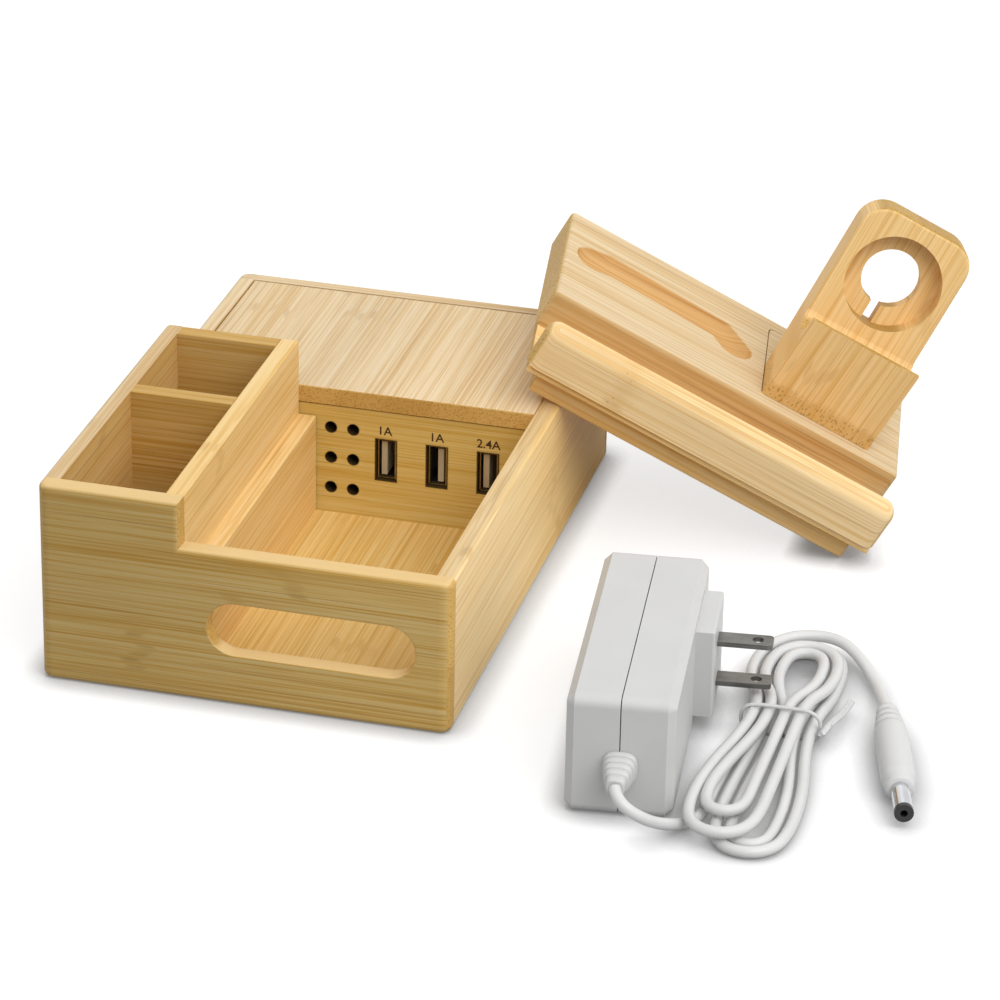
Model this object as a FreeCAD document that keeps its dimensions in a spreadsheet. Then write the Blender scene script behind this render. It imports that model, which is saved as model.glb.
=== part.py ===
import FreeCAD, Part
import math
import os
import re

V = FreeCAD.Vector
X_AXIS = V(1, 0, 0)
Y_AXIS = V(0, 1, 0)
Z_AXIS = V(0, 0, 1)

# Driving dimensions: lengths in millimetres, angles in degrees, shares without unit.
SIZES = {
    # tray
    "tray_length": 195.0,
    "tray_width": 123.0,
    "low_height": 48.0,
    "high_height": 62.5,
    "wall": 5.5,
    "edge_round": 1.8,
    "corner_round": 3.5,
    "edge_ease": 0.4,
    "base_thickness": 5.6,
    "compartment_width": 74.8,
    "divider": 5.6,
    "front_pocket_length": 62.1,
    "rear_pocket_length": 38.3,
    "ledge_depth": 5.5,
    "ledge_top": 38.0,
    "overrun": 1.0,
    # finger slot in the left end wall
    "slot_length": 62.0,
    "slot_height": 16.5,
    "slot_front_margin": 4.7,
    "slot_centre_z": 24.3,
    "slot_round": 0.5,
    # USB panel and lid
    "panel_setback": 0.5,
    "panel_thickness": 5.0,
    "panel_top_gap": 0.5,
    "lid_thickness": 5.6,
    "lid_gap": 0.4,
    "lid_round": 0.6,
    "rail_width": 6.0,
    "rail_height": 8.0,
    "vent_radius": 1.8,
    "vent_first_inset": 64.6,
    "vent_column_pitch": 7.1,
    "vent_first_z": 34.6,
    "vent_row_pitch": 10.2,
    "port_first_inset": 47.0,
    "port_pitch": 16.2,
    "port_centre_z": 25.6,
    "port_cut_width": 6.4,
    "port_cut_height": 13.7,
    # charging electronics
    "socket_width": 5.7,
    "socket_height": 13.1,
    "socket_length": 14.0,
    "socket_wall": 0.35,
    "socket_inset": 1.2,
    "tongue_width": 1.8,
    "tongue_gap": 0.6,
    "tongue_back": 3.0,
    "board_thickness": 1.6,
    "board_end_gap": 5.6,
    "board_front_gap": 1.8,
    "board_width": 58.0,
    "board_margin": 5.0,
    "part_gap": 1.0,
    "post_radius": 3.0,
    "screw_radius": 1.4,
    "screw_head_radius": 2.7,
    "screw_head_height": 1.6,
    "screw_length": 7.0,
    "chip_length": 5.0,
    "chip_width": 6.2,
    "chip_height": 1.5,
    "coil_radius": 5.0,
    "coil_height": 5.5,
    "capacitor_radius": 4.0,
    "capacitor_height": 11.5,
    # DC inlet in the back wall
    "jack_z": 22.0,
    "jack_bore_radius": 2.85,
    "jack_thread_radius": 4.0,
    "jack_flange_radius": 6.0,
    "jack_flange_height": 2.0,
    "jack_length": 14.0,
    "jack_bore_depth": 10.0,
    "jack_pin_radius": 1.0,
    "jack_pin_length": 9.0,
    "jack_nut_radius": 6.2,
    "jack_nut_height": 2.5,
    "jack_fit": 0.1,
    "wire_radius": 0.8,
    "wire_spacing": 4.0,
    "wire_lead_share": 0.25,
    "wire_dip_share": 0.5,
    "wire_rest_share": 0.17,
    # dock
    "fit_gap": 0.4,
    "lid_overlap": 5.0,
    "deck_thickness": 2.2,
    "deck_inset": 1.0,
    "tongue_thickness": 8.5,
    "bar_thickness": 9.5,
    "bar_height": 15.0,
    "bar_round": 4.0,
    "phone_channel": 16.7,
    "block_height": 13.5,
    "block_round": 1.6,
    "groove_radius": 7.5,
    "groove_ball_radius": 7.55,
    "groove_depth": 3.4,
    "groove_left_u": 10.4,
    "groove_left_v": 56.4,
    "groove_rise_u": 16.0,
    "groove_rise_v": 58.0,
    "groove_fall_u": 56.0,
    "groove_fall_v": 56.2,
    "groove_right_u": 61.2,
    "groove_right_v": 50.8,
    "pocket_left": 72.2,
    "pocket_front_strip": 5.0,
    "pocket_width": 38.5,
    "pocket_length": 42.2,
    "pocket_depth": 6.0,
    "pocket_round": 2.0,
    # leaning pose of the dock
    "lean_slope_angle": 28.86,
    "lean_turn_angle": 9.73,
    "lean_x": 18.9,
    "lean_gap": 0.3,
    "floor_gap": 0.15,
    # watch stand
    "stand_gap": 0.3,
    "stand_front_height": 30.5,
    "stand_lip": 1.6,
    "stand_cove_depth": 8.0,
    "stand_plate_foot_v": 13.8,
    "stand_plate_foot_w": 26.5,
    "stand_plate_length": 40.0,
    "stand_plate_thickness": 12.5,
    "stand_lean_angle": 15.0,
    "stand_top_round": 9.0,
    "stand_edge_round": 1.2,
    "puck_radius": 15.2,
    "puck_depth": 7.5,
    "puck_height": 19.2,
    "puck_hole_radius": 9.2,
    "cable_slot_width": 3.4,
    # power adapter
    "adapter_x": -128.2,
    "adapter_y": -118.3,
    "adapter_angle": 6.6,
    "adapter_width": 30.5,
    "adapter_depth": 91.0,
    "adapter_height": 36.6,
    "adapter_wall": 2.0,
    "adapter_chamfer": 2.3,
    "adapter_end_round": 3.0,
    "seam_gap": 0.3,
    "block_front": 52.5,
    "block_length": 26.3,
    "block_bottom": 4.75,
    "block_tall": 27.0,
    "block_proud": 5.5,
    "block_edge": 0.8,
    "blade_length": 15.9,
    "blade_width": 6.35,
    "blade_thickness": 1.5,
    "blade_tip_share": 0.9,
    "blade_pitch": 12.7,
    "blade_inset": 10.6,
    "blade_hole_radius": 1.6,
    "blade_hole_inset": 4.4,
    "relief_z": 16.0,
    "relief_side": -0.3,
    "relief_length": 12.5,
    "relief_base_radius": 5.0,
    "relief_tip_radius": 2.5,
    "relief_groove": 0.5,
    "adapter_board_height": 5.0,
    "adapter_board_margin": 4.0,
    "core_length": 22.0,
    "core_width": 19.0,
    "core_height": 17.0,
    "core_front": 34.0,
    "bulk_radius": 5.0,
    "bulk_length": 18.0,
    "bulk_front": 18.0,
    # cord, its hank and its barrel plug
    "cord_radius": 1.7,
    "arc_share": 0.45,
    "hank_x": -80.0,
    "hank_y": -155.0,
    "hank_floor_gap": 0.1,
    "hank_lobe_reach": 36.0,
    "hank_top": 58.0,
    "hank_bottom": 59.0,
    "hank_upper_width": 16.2,
    "hank_lower_width": 17.4,
    "hank_waist_at": 6.0,
    "hank_waist_width": 10.3,
    "hank_waist_step": 4.4,
    "hank_waist_lift": 1.3,
    "hank_step": 4.2,
    "hank_layer": 4.0,
    "tie_radius": 0.55,
    "tie_clearance": 0.4,
    "tie_corner": 3.0,
    "tie_tail_length": 15.0,
    "tie_tail_angle": 30.0,
    "plug_angle": 195.0,
    "plug_handle_length": 45.0,
    "plug_body_share": 0.9,
    "plug_boot_length": 13.0,
    "plug_boot_radius": 3.2,
    "plug_handle_radius": 5.0,
    "plug_nose_radius": 4.2,
    "plug_rib": 0.5,
    "plug_sleeve_radius": 2.75,
    "plug_sleeve_bore": 1.9,
    "plug_sleeve_length": 11.5,
    "plug_tip_length": 1.5,
    "plug_tip_bore": 1.05,
}

# Counts.
PORT_COUNT = 3
VENT_COLUMNS = 2
VENT_ROWS = 3
RELIEF_RIBS = 4
PLUG_RIBS = 3
KEYS_PER_LOOP = 8
HANK_KEYS = 34
CLIMB_FROM = 16
CLIMB_TO = 18
LEFT_WAIST_KEY = 1
RIGHT_WAIST_KEY = 5
NEIGHBOURS = 12

# How close two values count as one, for lengths and for directions.
SAME_LENGTH = 1e-4
SAME_DIRECTION = 1e-6
NO_LENGTH = 1e-9

# Routes of the free cord, as offsets from the strain relief's tip and from the hank's centre.
LEAD_ROUTE = [
    V(-3.8, 0, -0.4), V(-6.9, -2.2, -2.4), V(-7.3, -6.4, -5.8), V(-4.0, -11.0, -9.4),
    V(1.8, -15.8, -12.4), V(8.9, -18.9, -14.2),
]
LEAD_JOIN = [V(-42.3, -17.8, 1.9)]
TAIL_ROUTE = [
    V(49.0, -14.4, 5.0), V(60.5, -10.0, 3.2), V(67.5, -0.5, 2.0), V(64.0, 10.0, 1.9), V(54.5, 16.0, 1.9),
    V(43.5, 19.4, 2.4), V(33.0, 22.6, 4.2),
]
PLUG_START = V(23.5, 25.6, 0)

doc = FreeCAD.newDocument("ChargingStationOrganizer")
sheet = doc.addObject("Spreadsheet::Sheet", "Sizes")
for row, (name, value) in enumerate(SIZES.items(), 1):
    cell = f"A{row}"
    sheet.set(cell, str(value))
    sheet.setAlias(cell, name)
doc.recompute()


class Cells:
    """The sheet's sizes as attributes, for shapes that no parametric feature makes."""

    def __getattr__(self, name):
        return float(sheet.get(name))


S = Cells()
NODES = []

# Formulas that several pieces share.
FLOOR_TOP = "base_thickness"
HALF_LENGTH = "(tray_length / 2)"
HALF_WIDTH = "(tray_width / 2)"
INNER_LEFT = f"(wall - {HALF_LENGTH})"
INNER_FRONT = f"(wall - {HALF_WIDTH})"
DIVIDER_FRONT = f"({INNER_FRONT} + compartment_width)"
COMPARTMENT_LENGTH = "(front_pocket_length + divider + rear_pocket_length + wall)"
CHAMBER_LEFT = f"({INNER_LEFT} + {COMPARTMENT_LENGTH})"
PANEL_LEFT = f"({CHAMBER_LEFT} + panel_setback)"
PANEL_BACK = f"({PANEL_LEFT} + panel_thickness)"
LID_BOTTOM = "(low_height - lid_thickness)"
CHAMBER_RIGHT = f"({HALF_LENGTH} - wall)"
SLOT_CENTRE = f"({INNER_FRONT} + slot_front_margin + slot_length / 2)"
VENT_FIRST = f"({INNER_FRONT} + vent_first_inset)"
PORT_FIRST = f"({INNER_FRONT} + port_first_inset)"
SOCKET_LEFT = f"({PANEL_LEFT} + socket_inset)"
SOCKET_BACK = f"({SOCKET_LEFT} + socket_length)"
BOARD_TOP = "(port_centre_z - socket_height / 2)"
BOARD_LEFT = f"({PANEL_BACK} + fit_gap)"
BOARD_LENGTH = f"({CHAMBER_RIGHT} - board_end_gap - {BOARD_LEFT})"
BOARD_FRONT = f"({INNER_FRONT} + board_front_gap)"
JACK_X = f"(({PANEL_BACK} + {CHAMBER_RIGHT}) / 2)"
DOCK_LENGTH = f"(wall + {COMPARTMENT_LENGTH} + lid_overlap)"
DOCK_DEPTH = "(wall + compartment_width - fit_gap)"
TONGUE_LENGTH = f"({COMPARTMENT_LENGTH} - 2 * fit_gap)"
TONGUE_DEPTH = "(compartment_width - 2 * fit_gap)"
BLOCK_FRONT_V = "(bar_thickness + phone_channel)"
POCKET_FRONT_V = f"({BLOCK_FRONT_V} + pocket_front_strip)"
FOOT_WIDTH = "(pocket_width - 2 * stand_gap)"
FOOT_LENGTH = "(pocket_length - 2 * stand_gap)"


def formula(text):
    """The text with each size's name written as a cell of the sheet."""
    return re.sub(r"[a-z][a-z_]*", lambda found: "Sizes." + found.group(0), text)


def value(text):
    """The number that a formula gives."""
    return float(sheet.evalExpression(text))


def bind(solid, **formulas):
    for prop, text in formulas.items():
        solid.setExpression(prop, formula(text))


def place(solid, at, axis=Z_AXIS):
    """Put a primitive's corner or centre at three formulas, with its own Z along the axis."""
    solid.Placement = FreeCAD.Placement(V(), FreeCAD.Rotation(Z_AXIS, axis))
    for letter, text in zip("xyz", at):
        solid.setExpression("Placement.Base." + letter, formula(text))


def box(label, size, at):
    solid = doc.addObject("Part::Box", label)
    bind(solid, Length=size[0], Width=size[1], Height=size[2])
    place(solid, at)
    return solid


def rod(label, radius, height, at, axis=Z_AXIS):
    solid = doc.addObject("Part::Cylinder", label)
    bind(solid, Radius=radius, Height=height)
    place(solid, at, axis)
    return solid


def raw(label, shape):
    """A feature for a shape that neither a primitive nor a boolean gives."""
    solid = doc.addObject("Part::Feature", label)
    solid.Shape = shape
    return solid


def cut(label, base, *tools):
    solid = base
    for number, tool in enumerate(tools, 1):
        step = doc.addObject("Part::Cut", label if number == len(tools) else f"{label}_cut_{number}")
        step.Base = solid
        step.Tool = tool
        solid = step
    doc.recompute()
    return solid


def fuse(label, *solids):
    joined = doc.addObject("Part::MultiFuse", label)
    joined.Shapes = list(solids)
    joined.Refine = True
    doc.recompute()
    return joined


def rounded(label, base, radius, chosen, kind="Fillet"):
    """Round or chamfer the edges of base that pass the test."""
    doc.recompute()
    solid = doc.addObject("Part::" + kind, label)
    solid.Base = base
    solid.Edges = [(n, radius, radius) for n, edge in enumerate(base.Shape.Edges, 1) if chosen(edge)]
    doc.recompute()
    return solid


def keep(label, *solids, frame=None):
    """Make one sub-part of the solids, in its frame if it has one."""
    if frame is None and len(solids) == 1:
        node = solids[0]
    else:
        node = doc.addObject("Part::Compound", label)
        node.Links = list(solids)
        if frame is not None:
            node.Placement = frame
    node.Label = label
    NODES.append(node)
    return node


def runs_along(edge, axis):
    """True for a straight edge parallel to the axis."""
    if not isinstance(edge.Curve, Part.Line):
        return False
    return abs(abs(edge.tangentAt(edge.FirstParameter).dot(axis)) - 1) < SAME_DIRECTION


def middle(edge):
    return edge.valueAt((edge.FirstParameter + edge.LastParameter) / 2)


def near(first, second):
    return abs(first - second) < SAME_LENGTH


def on_top(edge, height):
    return near(edge.BoundBox.ZMin, height) and near(edge.BoundBox.ZMax, height)


# Tray walls

def tray_walls():
    left = -S.tray_length / 2
    front = -S.tray_width / 2

    def outside(edge):
        """Level edges round an end wall's outer faces, and its step's upright outer edge."""
        inner = near(edge.BoundBox.XMin, left + S.wall) or near(edge.BoundBox.XMax, -left - S.wall)
        level = near(edge.BoundBox.ZMin, edge.BoundBox.ZMax)
        at_step = near(middle(edge).y, value(DIVIDER_FRONT))
        upright = runs_along(edge, Z_AXIS) and near(edge.BoundBox.XMax, left)
        return (level and not inner and not at_step) or (upright and at_step)

    blank = box("left_end_blank", ("wall", "tray_width", "high_height"),
                (f"-{HALF_LENGTH}", f"-{HALF_WIDTH}", "0"))
    step = box("left_end_step", ("wall + 2 * overrun", "wall + compartment_width + overrun", "high_height"),
               (f"-{HALF_LENGTH} - overrun", f"-{HALF_WIDTH} - overrun", "low_height"))
    cornered = rounded("left_end_cornered", blank, S.corner_round,
                       lambda edge: runs_along(edge, Z_AXIS) and near(edge.BoundBox.XMax, left))
    stepped = cut("left_end_stepped", cornered, step)
    softened = rounded("left_end_softened", stepped, S.edge_round, outside)
    reach = "wall + 2 * overrun"
    start = f"-{HALF_LENGTH} - overrun"
    half_run = "(slot_length - slot_height) / 2"
    slot_bar = box("slot_bar", (reach, "slot_length - slot_height", "slot_height"),
                   (start, f"{SLOT_CENTRE} - {half_run}", "slot_centre_z - slot_height / 2"))
    slot_ends = [rod(f"slot_end_{name}", "slot_height / 2", reach,
                     (start, f"{SLOT_CENTRE} {sign} {half_run}", "slot_centre_z"), X_AXIS)
                 for name, sign in (("near", "-"), ("far", "+"))]
    slot = fuse("slot_cutter", slot_bar, *slot_ends)
    slotted = cut("left_end_slotted", softened, slot)

    def slot_rim(edge):
        aside = abs(middle(edge).y - value(SLOT_CENTRE))
        above = abs(middle(edge).z - S.slot_centre_z)
        flat = near(edge.BoundBox.XMin, edge.BoundBox.XMax)
        return flat and aside <= S.slot_length / 2 and above <= S.slot_height / 2

    keep("left_end_wall", rounded("left_end_wall_rounded", slotted, S.slot_round, slot_rim))

    right_blank = box("right_end_blank", ("wall", "tray_width", "low_height"),
                      (f"{HALF_LENGTH} - wall", f"-{HALF_WIDTH}", "0"))
    right_cornered = rounded("right_end_cornered", right_blank, S.corner_round,
                             lambda edge: runs_along(edge, Z_AXIS) and near(edge.BoundBox.XMin, -left))
    keep("right_end_wall", rounded("right_end_rounded", right_cornered, S.edge_round, outside))

    length = "tray_length - 2 * wall"
    front_blank = box("front_blank", (length, "wall", "low_height"), (INNER_LEFT, f"-{HALF_WIDTH}", "0"))

    keep("front_wall", rounded("front_rounded", front_blank, S.edge_round,
                               lambda edge: runs_along(edge, X_AXIS) and near(middle(edge).y, front)))

    back_blank = box("back_blank", (length, "wall", "high_height"), (INNER_LEFT, f"{HALF_WIDTH} - wall", "0"))
    back_step = box("back_step", ("tray_length", "wall + 2 * overrun", "high_height"),
                    (CHAMBER_LEFT, f"{HALF_WIDTH} - wall - overrun", "low_height"))
    back_stepped = cut("back_stepped", back_blank, back_step)

    def back_edges(edge):
        """Edges of the outer face, but for its two upright ends."""
        at_step = runs_along(edge, Z_AXIS) and near(middle(edge).x, value(CHAMBER_LEFT))
        return near(middle(edge).y, -front) and (runs_along(edge, X_AXIS) or at_step)

    back_round = rounded("back_rounded", back_stepped, S.edge_round, back_edges)
    jack_hole = rod("jack_hole", "jack_thread_radius + jack_fit", "wall + 2 * overrun",
                    (JACK_X, f"{HALF_WIDTH} - wall - overrun", "jack_z"), Y_AXIS)
    keep("back_wall", cut("back_wall_bored", back_round, jack_hole))


# Boards inside the tray

def tray_boards():
    base_size = ("tray_length - 2 * wall", "tray_width - 2 * wall", "base_thickness")
    keep("base_panel", box("base_blank", base_size, (INNER_LEFT, INNER_FRONT, "0")))

    rise = f"high_height - {FLOOR_TOP}"
    divider_blank = box("divider_blank", (COMPARTMENT_LENGTH, "divider", rise),
                        (INNER_LEFT, DIVIDER_FRONT, FLOOR_TOP))
    keep("pen_divider", rounded("divider_rounded", divider_blank, S.edge_ease,
                                lambda edge: runs_along(edge, X_AXIS) and on_top(edge, S.high_height)))
    back_of_divider = f"({DIVIDER_FRONT} + divider)"
    pocket_width = f"({HALF_WIDTH} - wall - {back_of_divider})"
    cross_blank = box("cross_blank", ("divider", pocket_width, rise),
                      (f"{INNER_LEFT} + front_pocket_length", back_of_divider, FLOOR_TOP))
    keep("pen_cross_divider", rounded("cross_rounded", cross_blank, S.edge_ease,
                                      lambda edge: runs_along(edge, Y_AXIS) and on_top(edge, S.high_height)))
    end_blank = box("pen_end_blank", ("wall", pocket_width, rise),
                    (f"{CHAMBER_LEFT} - wall", back_of_divider, FLOOR_TOP))
    keep("pen_end_wall", rounded("pen_end_rounded", end_blank, S.edge_ease,
                                 lambda edge: runs_along(edge, Y_AXIS) and on_top(edge, S.high_height)))
    ledge_blank = box("ledge_blank", (COMPARTMENT_LENGTH, "ledge_depth", f"ledge_top - {FLOOR_TOP}"),
                      (INNER_LEFT, f"{DIVIDER_FRONT} - ledge_depth", FLOOR_TOP))
    keep("ledge_board", rounded("ledge_rounded", ledge_blank, S.edge_ease,
                                lambda edge: on_top(edge, S.ledge_top) and near(
                                    middle(edge).y, ledge_blank.Shape.BoundBox.YMin)))

    panel_size = ("panel_thickness", f"{back_of_divider} - {INNER_FRONT}",
                  f"{LID_BOTTOM} - panel_top_gap - {FLOOR_TOP}")
    panel = box("panel_blank", panel_size, (PANEL_LEFT, INNER_FRONT, FLOOR_TOP))
    reach = "panel_thickness + 2 * overrun"
    start = f"{PANEL_LEFT} - overrun"
    ports = [box(f"port_cut_{n}", (reach, "port_cut_width", "port_cut_height"),
                 (start, f"{PORT_FIRST} - {n} * port_pitch - port_cut_width / 2",
                  "port_centre_z - port_cut_height / 2"))
             for n in range(PORT_COUNT)]
    vents = [rod(f"vent_cut_{column}{row}", "vent_radius", reach,
                 (start, f"{VENT_FIRST} - {column} * vent_column_pitch",
                  f"vent_first_z - {row} * vent_row_pitch"), X_AXIS)
             for column in range(VENT_COLUMNS) for row in range(VENT_ROWS)]
    keep("usb_panel", cut("panel_cut", panel, *ports, *vents))

    lid_length = f"({CHAMBER_RIGHT} - lid_gap - {CHAMBER_LEFT})"
    lid = box("lid_blank", (lid_length, "tray_width - 2 * wall - 2 * lid_gap", "lid_thickness"),
              (CHAMBER_LEFT, f"{INNER_FRONT} + lid_gap", LID_BOTTOM))
    keep("chamber_lid", rounded("lid_rounded", lid, S.lid_round, lambda edge: on_top(edge, S.low_height)))
    rail_size = (f"{CHAMBER_RIGHT} - {PANEL_BACK}", "rail_width", "rail_height")
    rails = [box(f"rail_{name}", rail_size, (PANEL_BACK, at, f"{LID_BOTTOM} - rail_height"))
             for name, at in (("front", INNER_FRONT), ("back", f"{HALF_WIDTH} - wall - rail_width"))]
    keep("lid_rails", *rails)


# Charging electronics

def electronics():
    inside = ("socket_width - 2 * socket_wall", "socket_height - 2 * socket_wall")
    low = f"{BOARD_TOP} + socket_wall"
    for n in range(PORT_COUNT):
        centre = f"({PORT_FIRST} - {n} * port_pitch)"
        side = f"{centre} - socket_width / 2"
        outer = box(f"socket_{n}_outer", ("socket_length", "socket_width", "socket_height"),
                    (SOCKET_LEFT, side, BOARD_TOP))
        inner = box(f"socket_{n}_inner", ("socket_length", *inside),
                    (f"{SOCKET_LEFT} - socket_wall", f"{side} + socket_wall", low))
        keep(f"usb_shell_{n + 1}", cut(f"socket_{n}_shell", outer, inner))
        block = box(f"socket_{n}_block", ("tongue_back", *inside),
                    (f"{SOCKET_BACK} - socket_wall - tongue_back", f"{side} + socket_wall", low))
        shift = "- tongue_width" if n == 1 else ""
        tongue = box(f"socket_{n}_tongue", ("socket_length - socket_wall - tongue_gap", "tongue_width",
                                            f"{inside[1]} - 2 * tongue_gap"),
                     (f"{SOCKET_LEFT} + tongue_gap", f"{centre} {shift}", f"{low} + tongue_gap"))
        keep(f"usb_tongue_{n + 1}", fuse(f"socket_{n}_insulator", block, tongue))

    board = box("board_blank", (BOARD_LENGTH, "board_width", "board_thickness"),
                (BOARD_LEFT, BOARD_FRONT, f"{BOARD_TOP} - board_thickness"))
    rows = (f"{BOARD_LEFT} + board_margin", f"{BOARD_LEFT} + {BOARD_LENGTH} - board_margin")
    columns = (f"{BOARD_FRONT} + board_margin", f"{BOARD_FRONT} + board_width - board_margin")
    corners = [(x, y) for x in rows for y in columns]
    holes = [rod(f"board_hole_{n}", "screw_radius", "board_thickness + 2 * overrun",
                 (x, y, f"{BOARD_TOP} - board_thickness - overrun")) for n, (x, y) in enumerate(corners)]
    keep("circuit_board", cut("board_drilled", board, *holes))
    posts = []
    screws = []
    post_height = f"({BOARD_TOP} - board_thickness - {FLOOR_TOP})"
    for n, (x, y) in enumerate(corners):
        post = rod(f"post_{n}_blank", "post_radius", post_height, (x, y, FLOOR_TOP))
        bore = rod(f"post_{n}_bore", "screw_radius", "screw_length", (x, y, f"{BOARD_TOP} - screw_length"))
        posts.append(cut(f"post_{n}", post, bore))
        shank = rod(f"screw_{n}_shank", "screw_radius", "screw_length", (x, y, f"{BOARD_TOP} - screw_length"))
        head = rod(f"screw_{n}_head", "screw_head_radius", "screw_head_height", (x, y, BOARD_TOP))
        screws.append(fuse(f"board_screw_{n}", shank, head))
    keep("board_posts", *posts)
    keep("board_screws", *screws)

    row = f"({SOCKET_BACK} + part_gap + chip_length / 2)"
    chips = [box(f"chip_{n}", ("chip_length", "chip_width", "chip_height"),
                 (f"{row} - chip_length / 2", f"{PORT_FIRST} - {n} * port_pitch - chip_width / 2", BOARD_TOP))
             for n in range(PORT_COUNT)]
    keep("charge_controllers", *chips)
    between = [f"{PORT_FIRST} - ({n} + 1 / 2) * port_pitch" for n in range(PORT_COUNT - 1)]
    cans = [rod(f"can_{n}", "capacitor_radius", "capacitor_height", (row, y, BOARD_TOP))
            for n, y in enumerate(between)]
    keep("filter_capacitors", *cans)
    coils = [rod(f"coil_{n}", "coil_radius", "coil_height",
                 (f"{row} + capacitor_radius + fit_gap + coil_radius", y, BOARD_TOP))
             for n, y in enumerate(between)]
    keep("power_inductors", *coils)
    dc_jack()


def dc_jack():
    outside = HALF_WIDTH
    inner_end = (JACK_X, f"{outside} - jack_length", "jack_z")
    outer_end = (JACK_X, outside, "jack_z")
    flange = rod("jack_flange", "jack_flange_radius", "jack_flange_height", outer_end, Y_AXIS)
    barrel = rod("jack_barrel", "jack_thread_radius", "jack_length", inner_end, Y_AXIS)
    bore = rod("jack_bore", "jack_bore_radius", "jack_bore_depth + overrun",
               (JACK_X, f"{outside} + jack_flange_height - jack_bore_depth", "jack_z"), Y_AXIS)
    pin_seat = rod("jack_pin_seat", "jack_pin_radius", "jack_length + jack_flange_height", inner_end, Y_AXIS)
    keep("dc_jack_body", cut("jack_bored", fuse("jack_solid", flange, barrel), bore, pin_seat))
    pin_length = "jack_length + jack_flange_height - jack_bore_depth + jack_pin_length"
    keep("dc_jack_pin", rod("jack_pin", "jack_pin_radius", pin_length, inner_end, Y_AXIS))
    nut_at = (JACK_X, f"{outside} - wall - jack_nut_height", "jack_z")
    nut = rod("jack_nut_blank", "jack_nut_radius", "jack_nut_height", nut_at, Y_AXIS)
    thread = rod("jack_nut_bore", "jack_thread_radius + jack_fit", "jack_nut_height + 2 * overrun",
                 (JACK_X, f"{outside} - wall - jack_nut_height - overrun", "jack_z"), Y_AXIS)
    keep("dc_jack_nut", cut("jack_nut_bored", nut, thread))

    board_top = value(BOARD_TOP)
    board_back = value(f"{BOARD_FRONT} + board_width")
    dip = (S.jack_z + (S.base_thickness + board_top) / 2) / 2
    wires = []
    for n, side in enumerate((-1, 1)):
        aside = value(JACK_X) + side * S.wire_spacing / 2
        start = V(aside, value(f"{outside} - jack_length"), S.jack_z)
        end = V(aside, board_back - S.board_margin, board_top + S.capacitor_radius)
        span = start.y - end.y
        route = [start, start - Y_AXIS * (S.wire_lead_share * span),
                 V(aside, start.y - S.wire_dip_share * span, dip),
                 end + Y_AXIS * (S.wire_rest_share * span), end]
        wires.append(raw(f"jack_wire_{n}", tube(route, S.wire_radius)))
    keep("jack_wires", *wires)


# Swept tubes

def cord_path(points):
    """Straight runs joined by tangent arcs, each as large as its two runs allow."""
    edges = []
    radii = []
    start = points[0]
    for before, corner, after in zip(points, points[1:], points[2:]):
        back = before - corner
        ahead = after - corner
        run = S.arc_share * min(back.Length, ahead.Length)
        back.normalize()
        ahead.normalize()
        half_turn = (math.pi - back.getAngle(ahead)) / 2
        radius = run / math.tan(half_turn)
        bisector = (back + ahead).normalize()
        crown = corner + bisector * (radius / math.cos(half_turn) - radius)
        first = corner + back * run
        last = corner + ahead * run
        edges.append(Part.LineSegment(start, first).toShape())
        edges.append(Part.Arc(first, crown, last).toShape())
        radii.append(radius)
        start = last
    edges.append(Part.LineSegment(start, points[-1]).toShape())
    return Part.Wire(edges), radii


def sweep(path, radius):
    """A round tube along the path."""
    first = path.OrderedEdges[0]
    heading = first.tangentAt(first.FirstParameter)
    section = Part.Wire(Part.Circle(first.valueAt(first.FirstParameter), heading, radius).toShape())
    return path.makePipeShell([section], True, False)


def tube(points, radius, name=None):
    path, radii = cord_path(points)
    solid = sweep(path, radius)
    if name:
        share = solid.Volume / (math.pi * radius ** 2 * path.Length)
        bends = [round(radius, 1) for radius in radii]
        print(name, "length", round(path.Length, 1), "radii", bends, "volume share", round(share, 4))
    return solid


def arc_to(start, heading, end):
    """The arc that leaves start along heading and reaches end."""
    chord = end - start
    half = chord.Length / 2
    angle = heading.getAngle(chord)
    side = heading - chord * (heading.dot(chord) / chord.dot(chord))
    if side.Length < NO_LENGTH:
        return Part.LineSegment(start, end).toShape()
    crown = (start + end) / 2 + side.normalize() * (half * math.tan(angle / 2))
    return Part.Arc(start, crown, end).toShape()


def biarc(start, heading, end, arrival):
    """Two arcs from start to end with the given headings at both."""
    gap = end - start
    along = gap.dot(heading + arrival)
    slack = 2 * (1 - heading.dot(arrival))
    if slack < NO_LENGTH:
        reach = gap.dot(gap) / (2 * along)
    else:
        reach = (math.sqrt(along ** 2 + slack * gap.dot(gap)) - along) / slack
    join = (start + end + (heading - arrival) * reach) / 2
    through = (end - arrival * reach - start - heading * reach).normalize()
    return [arc_to(start, heading, join), arc_to(join, through, end)]


# Dock

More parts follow.
